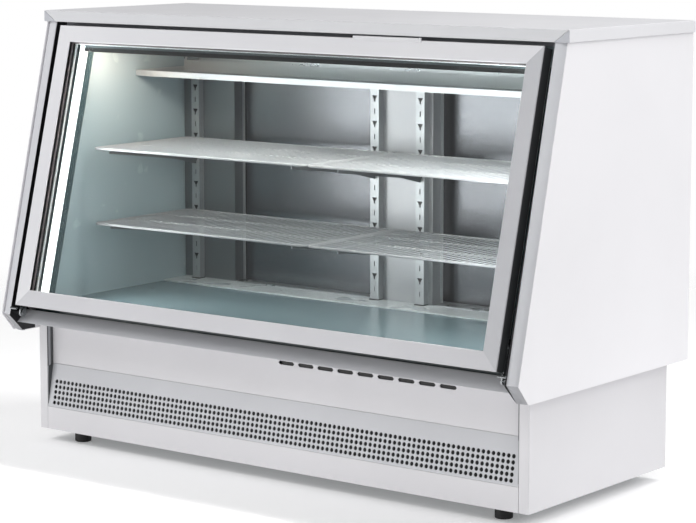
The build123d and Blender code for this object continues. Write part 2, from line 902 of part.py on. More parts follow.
def lamp_lenses():
    """Frosted covers of the two side lamps, seated in the lamp channels."""
    low_n = seat_n - lens_front_edge - lens_width
    high_n = seat_n - lens_front_edge
    base_x = liner_x - post_width + lens_stand
    low_s = sill_top_s + lens_end_gap
    high_s = header_bottom_s - lens_end_gap
    lens = lean_block(base_x - lens_stand - lens_proud, base_x, low_s, high_s, low_n, high_n)
    up_the_front = Axis(origin=(0, 0, 0), direction=(0, sin(lean), cos(lean)))
    lens = chamfer(lens.edges().filter_by(up_the_front).sort_by(Axis.X)[:2], lens_chamfer)
    return group(both_sides(lens))


def top_lamp():
    """Lamp bar under the ceiling, just behind the front header and out of sight of the customer."""
    half = liner_x - post_width - top_lamp_end_gap
    front = lean_y(ceiling_z, header_back_n) + top_lamp_gap
    low_z = ceiling_z - top_lamp_height
    outline = [
        (front, ceiling_z),
        (front, low_z),
        (front + top_lamp_depth * top_lamp_flat_share, low_z),
        (front + top_lamp_depth, ceiling_z),
    ]
    return side_profile(outline, -half, half)


# Front door

def door_ring(half_x, s0, s1, n0, n1, width):
    """A flat rectangular ring square to the sloped front."""
    outer = lean_block(-half_x, half_x, s0, s1, n0, n1)
    inner = lean_block(-half_x + width, half_x - width, s0 + width, s1 - width,
                       n0 - overrun, n1 + overrun)
    return outer - inner


def door_frame():
    """Four mitred rails of one rebated section."""
    back = door_back_n
    ring = door_ring(door_half_width, door_bottom_s, door_top_s, back, door_proud, door_frame_face)
    half = door_half_width - frame_wall
    rebate = lean_block(-half, half, door_bottom_s + frame_wall, door_top_s - frame_wall,
                        back - overrun, door_proud - front_lip)
    ring -= rebate
    w, s0, s1 = door_half_width, door_bottom_s, door_top_s
    iw, is0, is1 = inner_half_width, inner_bottom_s, inner_top_s
    cuts = {
        "door_top_rail": [(-w, s1), (w, s1), (iw, is1), (-iw, is1)],
        "door_bottom_rail": [(-w, s0), (w, s0), (iw, is0), (-iw, is0)],
        "door_left_stile": [(-w, s0), (-w, s1), (-iw, is1), (-iw, is0)],
        "door_right_stile": [(w, s0), (w, s1), (iw, is1), (iw, is0)],
    }
    low_n, high_n = back - overrun, door_proud + overrun
    return {name: ring & lean_prism(points, low_n, high_n) for name, points in cuts.items()}


pane_front_n = door_proud - front_lip - bead_front
spacer_front_n = pane_front_n - pane_thickness
rear_pane_n = spacer_front_n - spacer_depth
bead_rear_n = rear_pane_n - pane_thickness
pane_margin = frame_wall + pane_edge_gap


def door_glass():
    """Two panes of the sealed glass unit."""
    half = door_half_width - pane_margin
    s0 = door_bottom_s + pane_margin
    s1 = door_top_s - pane_margin
    front = lean_block(-half, half, s0, s1, spacer_front_n, pane_front_n)
    rear = lean_block(-half, half, s0, s1, bead_rear_n, rear_pane_n)
    return group([front, rear])


def glass_spacer():
    """Metal spacer between the panes, level with the inner edge of the rails."""
    half = inner_half_width + spacer_width
    return door_ring(half, inner_bottom_s - spacer_width, inner_top_s + spacer_width,
                     rear_pane_n, spacer_front_n, spacer_width)


def glazing_beads():
    """Black seals in front of and behind the glass unit."""
    width = door_frame_face - pane_margin
    half = inner_half_width + width
    s0 = inner_bottom_s - width
    s1 = inner_top_s + width
    front = door_ring(half, s0, s1, pane_front_n, door_proud - front_lip, width)
    rear = door_ring(half, s0, s1, door_back_n, bead_rear_n, width)
    return group([front, rear])


def door_gasket():
    """Soft seal round the back of the door."""
    half = door_half_width - gasket_inset
    return door_ring(half, door_bottom_s + gasket_inset, door_top_s - gasket_inset,
                     door_back_n - gasket_depth, door_back_n, gasket_width)


def door_pull():
    """Thin finger lip on the upper edge of the top rail."""
    x0 = pull_x1 - pull_length
    x1 = pull_x1
    plate = lean_block(x0, x1, door_top_s, door_top_s + pull_sheet, pull_back_n, door_proud)
    lip = lean_block(x0, x1, door_top_s, door_top_s + pull_height, door_proud - pull_sheet, door_proud)
    return plate + lip


arm_x0 = door_half_width
arm_x1 = arm_x0 + arm_thickness


def pivot_yz():
    """Y and Z of the pivot axis."""
    return lean_point(pivot_s, pivot_n)


def hinge_arms():
    """Steel arms on the door's sides that reach down to the pivots, their lower ends clipped."""
    half = arm_width / 2
    end = arm_hub_reach
    clip = end * arm_clip_share
    points = [
        (pivot_s - end + clip, pivot_n - end),
        (pivot_s + end, pivot_n - end),
        (pivot_s + end + clip, pivot_n - half),
        (pivot_s + arm_length, pivot_n - half),
        (pivot_s + arm_length, pivot_n + half),
        (pivot_s + end + clip, pivot_n + half),
        (pivot_s + end, pivot_n + end),
        (pivot_s - end + clip, pivot_n + end),
        (pivot_s - end, pivot_n + end - clip),
        (pivot_s - end, pivot_n - end + clip),
    ]
    arm = side_profile([lean_point(s, n) for s, n in points], arm_x0, arm_x1)
    y, z = pivot_yz()
    bore = x_cylinder(pivot_radius + running_gap, arm_x0 - overrun, arm_x1 + overrun, y, z)
    return group(both_sides(arm - bore))


def stop_sn():
    """Place of a stop pin, which an arm meets when the door is fully open."""
    angle = radians(open_angle_deg)
    reach = arm_width / 2 + stop_radius + seal_gap
    s = pivot_s + stop_reach * cos(angle) - reach * sin(angle)
    n = pivot_n + stop_reach * sin(angle) + reach * cos(angle)
    return s, n


def hinge_pins():
    """Pivot bolts and stop pins fixed in the end panels."""
    y, z = pivot_yz()
    shank = x_cylinder(pivot_radius, arm_x0 - side_gap, end_inner_x, y, z)
    head_plane = Plane(origin=(arm_x0 - seal_gap, y, z), x_dir=(0, 1, 0), z_dir=(-1, 0, 0))
    head = extrude(head_plane * RegularPolygon(pivot_head_radius, bolt_sides), amount=pivot_head_thickness)
    stop_s, stop_n = stop_sn()
    stop_y, stop_z = lean_point(stop_s, stop_n)
    stop_plane = Plane(origin=(arm_x0 + seal_gap, stop_y, stop_z), x_dir=(0, 1, 0), z_dir=(1, 0, 0))
    stop_length = end_inner_x - arm_x0 - seal_gap
    stop = extrude(stop_plane * RegularPolygon(stop_radius, bolt_sides), amount=stop_length)
    return group(both_sides(shank + head) + both_sides(stop))


# Rear sliding doors

def cup_centre_x(side):
    """Middle of a sliding door's finger cup, near the outer edge of the door."""
    return side * (slide_door_outer_x - pull_cup_inset - pull_cup_width / 2)


def slide_door(side, front_y):
    """Flat insulated sliding door with a pocket for its finger cup."""
    x0, x1 = sorted((side * slide_door_inner_x, side * slide_door_outer_x))
    rear = front_y + slide_door_thickness
    panel = block(x0, x1, front_y, rear, slide_door_bottom_z, slide_door_top_z)
    half_w = pull_cup_width / 2
    half_h = pull_cup_height / 2
    cup_x = cup_centre_x(side)
    pocket = block(cup_x - half_w, cup_x + half_w, rear - pull_cup_depth - pull_cup_wall, rear,
                   pull_cup_z - half_h, pull_cup_z + half_h)
    return panel - pocket


def slide_pull(side, front_y):
    """Finger cup with a thin flange over the rear face of the door."""
    rear = front_y + slide_door_thickness
    half_w = pull_cup_width / 2
    half_h = pull_cup_height / 2
    wall = pull_cup_wall
    cup_x = cup_centre_x(side)
    flange = block(cup_x - half_w - pull_cup_flange, cup_x + half_w + pull_cup_flange, rear, rear + wall,
                   pull_cup_z - half_h - pull_cup_flange, pull_cup_z + half_h + pull_cup_flange)
    cup = block(cup_x - half_w, cup_x + half_w, rear - pull_cup_depth - wall, rear,
                pull_cup_z - half_h, pull_cup_z + half_h)
    hollow = block(cup_x - half_w + wall, cup_x + half_w - wall, rear - pull_cup_depth,
                   rear + wall + overrun, pull_cup_z - half_h + wall, pull_cup_z + half_h - wall)
    return flange + cup - hollow


# Machinery

fan_x = condenser_x
fan_z = tray_floor_z + condenser_height / 2
condenser_front_y = lower_panel_y + condenser_front_gap
condenser_rear_y = condenser_front_y + condenser_depth
shroud_rear_y = condenser_rear_y + shroud_depth
hub_front_y = condenser_rear_y + (shroud_depth - hub_depth) / 2
motor_front_y = shroud_rear_y + motor_gap


def condenser_coil():
    """Finned block behind the grille, with end plates and return bends."""
    half = condenser_width / 2
    x0 = condenser_x - half
    x1 = condenser_x + half
    z0 = tray_floor_z
    z1 = tray_floor_z + condenser_height
    fins = block(x0 + coil_plate, x1 - coil_plate, condenser_front_y + fin_inset,
                 condenser_rear_y - fin_inset, z0 + fin_inset, z1 - fin_inset)
    left = block(x0, x0 + coil_plate, condenser_front_y, condenser_rear_y, z0, z1)
    right = block(x1 - coil_plate, x1, condenser_front_y, condenser_rear_y, z0, z1)
    solids = [fins, left, right]
    mid_y = (condenser_front_y + condenser_rear_y) / 2
    spacing = condenser_height / condenser_bends
    for index in range(condenser_bends):
        centre = (x1, mid_y, z0 + spacing * (index + 0.5))
        solids.append(return_bend(centre, (0, 0, 1), (1, 0, 0), condenser_bend_reach,
                                  condenser_tube_radius))
    return group(solids)


def fan_shroud():
    """Plate and collar round the condenser fan, with a bridge that carries its motor."""
    plate_rear_y = condenser_rear_y + shroud_sheet
    half = condenser_width / 2
    shroud = block(fan_x - half, fan_x + half, condenser_rear_y, plate_rear_y,
                   tray_floor_z, tray_floor_z + condenser_height)
    shroud += y_prism(fan_bore_radius + shroud_sheet, condenser_rear_y, shroud_rear_y, fan_x, fan_z)
    shroud -= y_prism(fan_bore_radius, condenser_rear_y - overrun, shroud_rear_y + overrun, fan_x, fan_z)
    reach = fan_bore_radius + motor_arm
    half = motor_arm / 2
    bridge = block(fan_x - reach, fan_x + reach, motor_front_y, motor_front_y + bridge_sheet,
                   fan_z - half, fan_z + half)
    for x in (fan_x - reach, fan_x + reach - bridge_sheet):
        bridge += block(x, x + bridge_sheet, plate_rear_y, motor_front_y, fan_z - half, fan_z + half)
    hole = shaft_radius + shaft_clearance
    hole_half = hole * bridge_hole_share
    bridge -= block(fan_x - hole, fan_x + hole, motor_front_y - overrun,
                    motor_front_y + bridge_sheet + overrun, fan_z - hole_half, fan_z + hole_half)
    return shroud + bridge


def fan_motor():
    """Round motor behind the fan with its shaft through the bracket."""
    body_front = motor_front_y + bridge_sheet
    body_rear = body_front + motor_depth
    body = y_prism(motor_radius, body_front, body_rear, fan_x, fan_z)
    body += y_prism(motor_radius * motor_cap_share, body_rear, body_rear + motor_cap, fan_x, fan_z)
    shaft = y_cylinder(shaft_radius, hub_front_y + hub_face, body_front, fan_x, fan_z)
    return body + shaft


def fan_rotor():
    """Hub and pitched blades of the condenser fan."""
    hub_rear = hub_front_y + hub_depth
    hub = y_prism(hub_radius, hub_front_y, hub_rear, fan_x, fan_z)
    bore = y_bore(shaft_radius + running_gap, hub_front_y + hub_face - seal_gap, hub_rear + overrun,
                  fan_x, fan_z)
    rotor = hub
    tip = fan_bore_radius - fan_tip_gap
    root = hub_radius - blade_root_lap
    mid_y = (hub_front_y + hub_rear) / 2
    span = tip - root - blade_tip_trim
    blade = Pos(root + span / 2, 0, 0) * Rot(blade_pitch_deg, 0, 0) * Box(span, blade_thickness, blade_width)
    for index in range(blade_count):
        turn = 360 / blade_count * index
        rotor += Pos(fan_x, mid_y, fan_z) * Rot(0, turn, 0) * blade
    return rotor - bore


def compressor():
    """Hermetic shell with a seam flange, a domed top, a foot plate and rubber mounts."""
    x, y, radius = compressor_x, compressor_y, compressor_radius
    base_z = tray_floor_z + mount_pad_height
    wall_z = base_z + compressor_foot
    wall_top = wall_z + compressor_height - compressor_dome
    seam_z = wall_top - compressor_seam_drop
    crown = Plane(origin=(x, y, wall_top)) * RegularPolygon(radius, facet_sides)
    shell = z_prism(radius, wall_z, wall_top, x, y)
    shell += z_prism(radius + compressor_seam, seam_z, seam_z + compressor_seam, x, y)
    shell += extrude(crown, amount=compressor_dome, dir=(0, 0, 1), taper=compressor_dome_taper)
    reach_x = radius + compressor_foot_reach
    reach_y = radius * compressor_foot_share
    foot = block(x - reach_x, x + reach_x, y - reach_y, y + reach_y, base_z, wall_z)
    pads = [
        z_prism(mount_pad_radius, tray_floor_z, base_z, x + side_x, y + side_y, mount_pad_sides)
        for side_x in (-reach_x + mount_pad_inset, reach_x - mount_pad_inset)
        for side_y in (-reach_y + mount_pad_inset, reach_y - mount_pad_inset)
    ]
    return group([shell, foot] + pads)


def condensate_pan():
    """Open pan that catches the water from the coil."""
    x0, x1 = pan_x - pan_width / 2, pan_x + pan_width / 2
    y0, y1 = pan_y - pan_depth / 2, pan_y + pan_depth / 2
    z0, z1 = tray_floor_z, tray_floor_z + pan_height
    shell = block(x0, x1, y0, y1, z0, z1)
    hollow = block(x0 + pan_sheet, x1 - pan_sheet, y0 + pan_sheet, y1 - pan_sheet,
                   z0 + pan_sheet, z1 + overrun)
    return shell - hollow


def pipe(points, radius):
    """A pipe along straight runs, bent sharply at each corner as small copper elbows are."""
    path = Polyline(*points)
    start = Plane(origin=path @ 0, z_dir=path % 0)
    section = start * RegularPolygon(radius, pipe_sides)
    return sweep(section, path=path, transition=Transition.RIGHT)


def refrigerant_lines():
    """Copper pipes from the compressor to the condenser, with the drier between."""
    shell_z = tray_floor_z + mount_pad_height + line_outlet_rise
    side_x = compressor_x - compressor_radius
    turn_x = side_x - line_side_reach
    high_z = tray_floor_z + condenser_height - line_top_drop
    condenser_x1 = condenser_x + condenser_width / 2
    mid_y = (condenser_front_y + condenser_rear_y) / 2 + line_rear_step
    hot_line = pipe([
        (side_x, compressor_y, shell_z),
        (turn_x, compressor_y, shell_z),
        (turn_x, compressor_y, high_z),
        (turn_x, mid_y, high_z),
        (condenser_x1, mid_y, high_z),
    ], line_radius)
    low_z = tray_floor_z + line_low_rise
    drier_y = mid_y + drier_rear_step
    drier_x = condenser_x1 + drier_side_step
    cold_line = pipe([
        (condenser_x1, mid_y, low_z),
        (drier_x, mid_y, low_z),
        (drier_x, drier_y, low_z),
    ], line_radius)
    drier = y_prism(drier_radius, drier_y, drier_y + drier_length, drier_x, low_z)
    return group([hot_line, cold_line, drier])


def control_box():
    """Box for the controls, set in the rear panel, with the spindle of its knob."""
    face_y = plinth_rear_y
    half_w = box_width / 2
    half_h = box_height / 2
    case = block(box_x - half_w, box_x + half_w, face_y - box_depth, face_y, box_z - half_h, box_z + half_h)
    spindle = y_cylinder(knob_shaft_radius, face_y, face_y + knob_depth - knob_grip, box_x, box_z)
    leg_z = tray_floor_z
    leg = block(box_x - half_w, box_x + half_w, face_y - box_depth, face_y - box_depth + box_leg_sheet,
                leg_z, box_z - half_h)
    return case + spindle + leg


def thermostat_knob():
    """Round knob with a raised grip bar across its face."""
    y0 = plinth_rear_y + seal_gap
    body = y_prism(knob_radius, y0, y0 + knob_depth - knob_grip, box_x, box_z)
    grip_reach = knob_radius - knob_grip_edge
    grip = block(box_x - knob_grip_half, box_x + knob_grip_half, y0 + knob_depth - knob_grip,
                 y0 + knob_depth, box_z - grip_reach, box_z + grip_reach)
    bore = y_bore(knob_shaft_radius + running_gap, y0 - overrun,
                  plinth_rear_y + knob_depth - knob_grip + seal_gap, box_x, box_z)
    return body + grip - bore


def all_parts():
    """Every node of the case by name."""
    nodes = {
        "end_panel_left": end_panel(-1),
        "end_panel_right": end_panel(1),
        "edge_trims": edge_trims(),
        "top_panel": top_panel(),
        "top_trims": top_trims(),
        "ceiling_panel": ceiling_panel(),
        "end_liners": end_liners(),
        "front_header": front_header(),
        "front_sill": front_sill(),
        "breaker_strips": breaker_strips(),
        "deck_panel": deck_panel(),
        "threshold_plate": threshold_plate(),
        "front_apron": front_apron(),
        "lower_front_panel": lower_front_panel(),
        "front_grille": front_grille(),
        "kick_panel": kick_panel(),
        "plinth_sides": plinth_sides(),
        "rear_louvre_panel": rear_louvre_panel(),
        "base_tray": base_tray(),
        "feet": feet(),
        "rear_header": rear_header(),
        "rear_sill": rear_sill(),
        "rear_stiles": rear_stiles(),
        "rear_mullion": rear_mullion(),
        "door_tracks": door_tracks(),
        "pilasters": pilasters(),
        "shelf_brackets": shelf_brackets(),
        "drip_tray": drip_tray(),
        "evaporator_coil": evaporator_coil(),
        "lamp_posts": lamp_posts(),
        "lamp_lenses": lamp_lenses(),
        "top_lamp": top_lamp(),
        "door_glass": door_glass(),
        "glass_spacer": glass_spacer(),
        "glazing_beads": glazing_beads(),
        "door_gasket": door_gasket(),
        "door_pull": door_pull(),
        "hinge_arms": hinge_arms(),
        "hinge_pins": hinge_pins(),
        "slide_door_left": slide_door(-1, inner_door_y),
        "slide_door_left_pull": slide_pull(-1, inner_door_y),
        "slide_door_right": slide_door(1, outer_door_y),
        "slide_door_right_pull": slide_pull(1, outer_door_y),
        "condenser_coil": condenser_coil(),
        "fan_shroud": fan_shroud(),
        "fan_motor": fan_motor(),
        "fan_rotor": fan_rotor(),
        "compressor": compressor(),
        "condensate_pan": condensate_pan(),
        "refrigerant_lines": refrigerant_lines(),
        "control_box": control_box(),
        "thermostat_knob": thermostat_knob(),
    }
    nodes.update(door_frame())
    for level, height in zip(("lower", "upper"), shelf_heights):
        nodes[f"wire_shelf_{level}_left"] = wire_shelf(-1, height)
        nodes[f"wire_shelf_{level}_right"] = wire_shelf(1, height)
    return nodes


os.makedirs("parts", exist_ok=True)
for node_name, node_shape in all_parts().items():
    export_step(node_shape, f"parts/{node_name}.step")
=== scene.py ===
import json
from math import cos, pi, radians, sin, tan

import bmesh
import bpy
from mathutils import Matrix, Vector
from mathutils.geometry import tessellate_polygon


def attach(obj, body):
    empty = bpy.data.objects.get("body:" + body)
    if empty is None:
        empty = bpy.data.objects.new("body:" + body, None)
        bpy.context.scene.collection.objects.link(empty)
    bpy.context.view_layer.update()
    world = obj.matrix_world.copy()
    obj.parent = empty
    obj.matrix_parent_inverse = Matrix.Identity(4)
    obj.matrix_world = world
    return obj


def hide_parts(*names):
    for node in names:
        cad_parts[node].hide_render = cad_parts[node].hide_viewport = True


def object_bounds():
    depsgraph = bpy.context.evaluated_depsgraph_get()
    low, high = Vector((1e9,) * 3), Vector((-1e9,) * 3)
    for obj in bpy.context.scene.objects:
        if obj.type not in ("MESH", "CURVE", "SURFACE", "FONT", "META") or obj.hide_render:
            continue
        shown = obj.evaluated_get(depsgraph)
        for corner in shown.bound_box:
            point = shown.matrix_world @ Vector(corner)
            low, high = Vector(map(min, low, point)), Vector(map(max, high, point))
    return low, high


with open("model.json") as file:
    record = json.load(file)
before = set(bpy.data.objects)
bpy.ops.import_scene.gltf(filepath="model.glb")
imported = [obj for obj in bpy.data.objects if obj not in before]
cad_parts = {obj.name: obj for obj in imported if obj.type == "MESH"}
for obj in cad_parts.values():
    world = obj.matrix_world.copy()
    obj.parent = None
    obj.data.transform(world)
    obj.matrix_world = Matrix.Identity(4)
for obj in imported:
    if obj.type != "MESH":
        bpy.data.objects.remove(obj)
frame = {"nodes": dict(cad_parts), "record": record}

# A refrigerated display case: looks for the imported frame. Sizes below are in millimetres, as in the
# workshop drawing, and every mesh is turned to metres when it is made.

cad_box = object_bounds()
MM = 0.001

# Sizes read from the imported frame's box
nose_y, rear_y = (round(corner[1] / MM, 1) for corner in cad_box)
slab_edge_x, slab_top_z = (round(cad_box[1][i] / MM, 1) for i in (0, 2))

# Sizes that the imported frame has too. x runs across, y to the rear and z up. On the sloped front, s runs up
# the slope from the nose and n stands out from it.
half_width = slab_edge_x - 5.0
end_inner_x = half_width - 32.5
nose_z = 320.0
lean = radians(14.36)
slab_low_z = slab_top_z - 27.0
slab_front_y = -174.8
end_bottom_z = 278.0
nose_return = 45.0
door_half = 697.0
door_low_s = 28.0
door_high_s = 713.0
plinth_front_y = -250.0
lower_panel_y = -230.0
grille_low_z = 86.0
grille_high_z = 190.0
lower_half = 689.2
wall_y = 272.0
seat_n = -37.3
header_s = 676.0
sill_top_s = 66.0
post_back_n = -87.3
liner_x = 694.0
post_inner_x = 659.0


# Building meshes

def on_front(x, s, n):
    """A point s up the sloped front and n out from it."""
    return (x, nose_y + s * sin(lean) - n * cos(lean), nose_z + s * cos(lean) + n * sin(lean))


def front_y(z, n):
    """Y of the plane n out from the sloped front, at height z."""
    return nose_y + (z - nose_z) * tan(lean) - n / cos(lean)


def turns(sides):
    """Angles of the corners of a regular form with so many sides."""
    return [2 * pi * i / sides for i in range(sides)]


def ring_points(centre, across, up, radius, sides):
    """Points of a circle about a centre, in the plane of two directions."""
    across, up, centre = Vector(across), Vector(up), Vector(centre)
    return [centre + across * radius * cos(a) + up * radius * sin(a) for a in turns(sides)]


class Stock:
    """Points and faces that grow into the mesh of one piece."""

    def __init__(self):
        self.points = []
        self.faces = []

    def add(self, points, faces):
        """Adds points and the faces between them."""
        start = len(self.points)
        self.points += [tuple(p) for p in points]
        self.faces += [tuple(start + i for i in face) for face in faces]

    def loft(self, rings, closed=False):
        """A skin over rings of equal count, with flat ends or closed round to the first ring."""
        count = len(rings[0])
        faces = []
        spans = len(rings) if closed else len(rings) - 1
        for level in range(spans):
            low = level * count
            high = (level + 1) % len(rings) * count
            for i in range(count):
                j = (i + 1) % count
                faces.append((low + i, low + j, high + j, high + i))
        if not closed:
            faces.append(tuple(range(count))[::-1])
            faces.append(tuple(range((len(rings) - 1) * count, len(rings) * count)))
        self.add([p for ring in rings for p in ring], faces)

    def prism(self, outline, run):
        """A flat outline pushed along one direction."""
        self.loft([outline, [Vector(p) + Vector(run) for p in outline]])

    def box(self, x0, x1, y0, y1, z0, z1):
        """A block between two corners."""
        self.prism([(x0, y0, z0), (x1, y0, z0), (x1, y1, z0), (x0, y1, z0)], (0, 0, z1 - z0))

    def side_prism(self, outline, x0, x1):
        """An outline in Y and Z, run along X."""
        self.prism([(x0, y, z) for y, z in outline], (x1 - x0, 0, 0))

    def front_prism(self, outline, x0, x1):
        """An outline in s and n on the sloped front, run along X."""
        self.prism([on_front(x0, s, n) for s, n in outline], (x1 - x0, 0, 0))

    def front_block(self, x0, x1, s0, s1, n0, n1):
        """A block on the sloped front."""
        self.front_prism([(s0, n0), (s1, n0), (s1, n1), (s0, n1)], x0, x1)

    def slope_prism(self, outline, s0, s1):
        """An outline in X and n, run up the sloped front."""
        run = Vector(on_front(0, s1, 0)) - Vector(on_front(0, s0, 0))
        self.prism([on_front(x, s0, n) for x, n in outline], run)

    def tube(self, path, radius, sides, closed=False):
        """A round wire along a path of points."""
        points = [Vector(p) for p in path]
        rings = []
        count = len(points)
        last_side = None
        for i, point in enumerate(points):
            ahead = points[(i + 1) % count] if closed or i + 1 < count else point
            behind = points[i - 1] if closed or i > 0 else point
            along = (ahead - behind).normalized()
            if last_side is None:
                guide = Vector((0, 0, 1)) if abs(along.z) < 0.8 else Vector((0, 1, 0))
                side = along.cross(guide).normalized()
            else:
                side = (last_side - along * last_side.dot(along)).normalized()
            last_side = side
            up = side.cross(along)
            stretch = 1.0
            if 0 < i < count - 1 or closed:
                turn = (ahead - point).angle(point - behind, 0.0)
                stretch = 1.0 / max(cos(turn / 2), 0.5)
            rings.append([point + (side * cos(a) * stretch + up * sin(a)) * radius for a in turns(sides)])
        self.loft(rings, closed=closed)

    def pierced(self, outer, holes, place, run):
        """A sheet with holes: flat loops, a function that places their points, and its thickness."""
        loops = [outer] + holes
        flat = [[Vector((x, y, 0.0)) for x, y in loop] for loop in loops]
        tops = [Vector(place(x, y)) for loop in loops for x, y in loop]
        run = Vector(run)
        count = len(tops)
        faces = []
        for a, b, c in tessellate_polygon(flat):
            faces += [(a, b, c), (count + c, count + b, count + a)]
        start = 0
        for loop in loops:
            for i in range(len(loop)):
                j = (i + 1) % len(loop)
                faces.append((start + i, start + j, count + start + j, count + start + i))
            start += len(loop)
        self.add(tops + [p + run for p in tops], faces)

    def turned(self, profile, centre, axis, sides):
        """A turned form: radius and height pairs about an axis from a centre."""
        axis = Vector(axis).normalized()
        across = axis.orthogonal().normalized()
        up = axis.cross(across)
        self.loft([ring_points(Vector(centre) + axis * height, across, up, max(radius, 0.01), sides)
                   for radius, height in profile])


sharp_edge = radians(28)


def make(name, stock, body, slot, replaces=(), bevel=0.0, steps=2, smooth_deg=40.0, weld=0.0, finish=None):
    """Turns stock into a named piece: rounded edges, clean normals, finish and body.

    The finish is the slot's own, unless another is given."""
    mesh = bpy.data.meshes.new(name)
    work = bmesh.new()
    corners = [work.verts.new(Vector(p) * MM) for p in stock.points]
    for face in stock.faces:
        work.faces.new([corners[i] for i in face])
    if weld:
        bmesh.ops.remove_doubles(work, verts=work.verts[:], dist=weld * MM)
    bmesh.ops.recalc_face_normals(work, faces=work.faces[:])
    if bevel:
        sharp = [edge for edge in work.edges
                 if len(edge.link_faces) == 2 and edge.calc_face_angle(0.0) > sharp_edge]
        bmesh.ops.bevel(work, geom=sharp, offset=bevel * MM, segments=steps, profile=0.5,
                        affect="EDGES", clamp_overlap=True)
    work.to_mesh(mesh)
    work.free()
    mesh.shade_smooth()
    mesh.set_sharp_from_angle(angle=radians(smooth_deg))
    made = bpy.data.objects.new(name, mesh)
    bpy.context.scene.collection.objects.link(made)
    if bevel:
        weights = made.modifiers.new("flat_faces_stay_flat", "WEIGHTED_NORMAL")
        weights.keep_sharp = True
    mesh.materials.append(finish or finishes[slot])
    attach(made, body)
    if replaces:
        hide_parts(*replaces)
    return made


# Finishes

def linear(hex_colour):
    """An sRGB colour such as D6D6D9 as the linear value that shaders take."""
    parts = [int(hex_colour[i:i + 2], 16) / 255 for i in (0, 2, 4)]
    return tuple(c / 12.92 if c <= 0.04045 else ((c + 0.055) / 1.055) ** 2.4 for c in parts) + (1.0,)


def add_node(tree, kind, settings=None, values=None, links=None):
    """Adds one node, sets its choices and socket values, and links its inputs."""
    made = tree.nodes.new(kind)
    for key, value in (settings or {}).items():
        setattr(made, key, value)
    for key, value in (values or {}).items():
        made.inputs[key].default_value = value
    for key, source in (links or {}).items():
        tree.links.new(source, made.inputs[key])
    return made


def new_finish(name, **values):
    """A material with one shader and its fixed values. Returns material, tree, shader and place."""
    made = bpy.data.materials.new(name)
    made.use_nodes = True
    tree = made.node_tree
    shader = tree.nodes["Principled BSDF"]
    for key, value in values.items():
        shader.inputs[key.replace("_", " ")].default_value = value
    place = add_node(tree, "ShaderNodeTexCoord").outputs["Object"]
    return made, tree, shader, place


def per_mm(size):
    """Noise scale whose features are about this many millimetres across."""
    return 1.0 / (size * MM)


# Patterns in millimetres. Orange peel, moulded grain and brush lines are finer on the real case, and drawn
# as coarse as they need to be to show.
cloud_size = 420.0
smear_size = 60.0
peel_size, peel_height = 3.0, 0.02
brush_line, brush_depth = 0.6, 0.004
brush_stretch = 0.01
zinc_crystal = 9.0
mould_cloud = 80.0
mould_grain, mould_depth = 0.8, 0.03
lamp_board_pitch = 100.0
glass_cloud = 150.0
# Where the darker and the lighter tone of a finish stop, along its noise
tone_stops = (0.3, 0.7)


def baked_paint(name, colour, shade, roughness, metallic=0.0):
    """A baked or anodised coat: even colour with a faint cloud, fine orange peel, metal flakes if asked."""
    made, tree, shader, place = new_finish(name, IOR=1.5, Metallic=metallic)
    cloud = add_node(tree, "ShaderNodeTexNoise", values={"Scale": per_mm(cloud_size), "Detail": 3.0},
                     links={"Vector": place})
    colours = add_node(tree, "ShaderNodeValToRGB", links={"Fac": cloud.outputs["Fac"]})
    for stop, place_along, tone in zip(colours.color_ramp.elements, tone_stops, (shade, colour)):
        stop.position = place_along
        stop.color = linear(tone)
    tree.links.new(colours.outputs["Color"], shader.inputs["Base Color"])
    smear = add_node(tree, "ShaderNodeTexNoise", values={"Scale": per_mm(smear_size), "Detail": 4.0},
                     links={"Vector": place})
    gloss = add_node(tree, "ShaderNodeMapRange",
                     values={"To Min": roughness - 0.05, "To Max": roughness + 0.06},
                     links={"Value": smear.outputs["Fac"]})
    tree.links.new(gloss.outputs["Result"], shader.inputs["Roughness"])
    peel = add_node(tree, "ShaderNodeTexNoise", values={"Scale": per_mm(peel_size), "Detail": 2.0},
                    links={"Vector": place})
    # A coat with metal flakes lies flatter
    height = peel_height * (1.0 - 0.9 * metallic)
    bump = add_node(tree, "ShaderNodeBump", values={"Strength": 0.35, "Distance": height * MM},
                    links={"Height": peel.outputs["Fac"]})
    tree.links.new(bump.outputs["Normal"], shader.inputs["Normal"])
    return made


def brushed_metal(name, colour, shade, roughness, along):
    """Brushed or rolled metal: long fine lines along the sheet that break up its reflections."""
    made, tree, shader, place = new_finish(name, Metallic=1.0)
    stretch = [brush_stretch if axis == along else 1.0 for axis in "XYZ"]
    mapping = add_node(tree, "ShaderNodeMapping", values={"Scale": stretch}, links={"Vector": place})
    lines = add_node(tree, "ShaderNodeTexNoise", values={"Scale": per_mm(brush_line), "Detail": 3.0},
                     links={"Vector": mapping.outputs["Vector"]})
    colours = add_node(tree, "ShaderNodeValToRGB", links={"Fac": lines.outputs["Fac"]})
    for stop, place_along, tone in zip(colours.color_ramp.elements, tone_stops, (shade, colour)):
        stop.position = place_along
        stop.color = linear(tone)
    tree.links.new(colours.outputs["Color"], shader.inputs["Base Color"])
    gloss = add_node(tree, "ShaderNodeMapRange",
                     values={"To Min": roughness - 0.03, "To Max": roughness + 0.04},
                     links={"Value": lines.outputs["Fac"]})
    tree.links.new(gloss.outputs["Result"], shader.inputs["Roughness"])
    bump = add_node(tree, "ShaderNodeBump", values={"Strength": 0.2, "Distance": brush_depth * MM},
                    links={"Height": lines.outputs["Fac"]})
    tree.links.new(bump.outputs["Normal"], shader.inputs["Normal"])
    return made


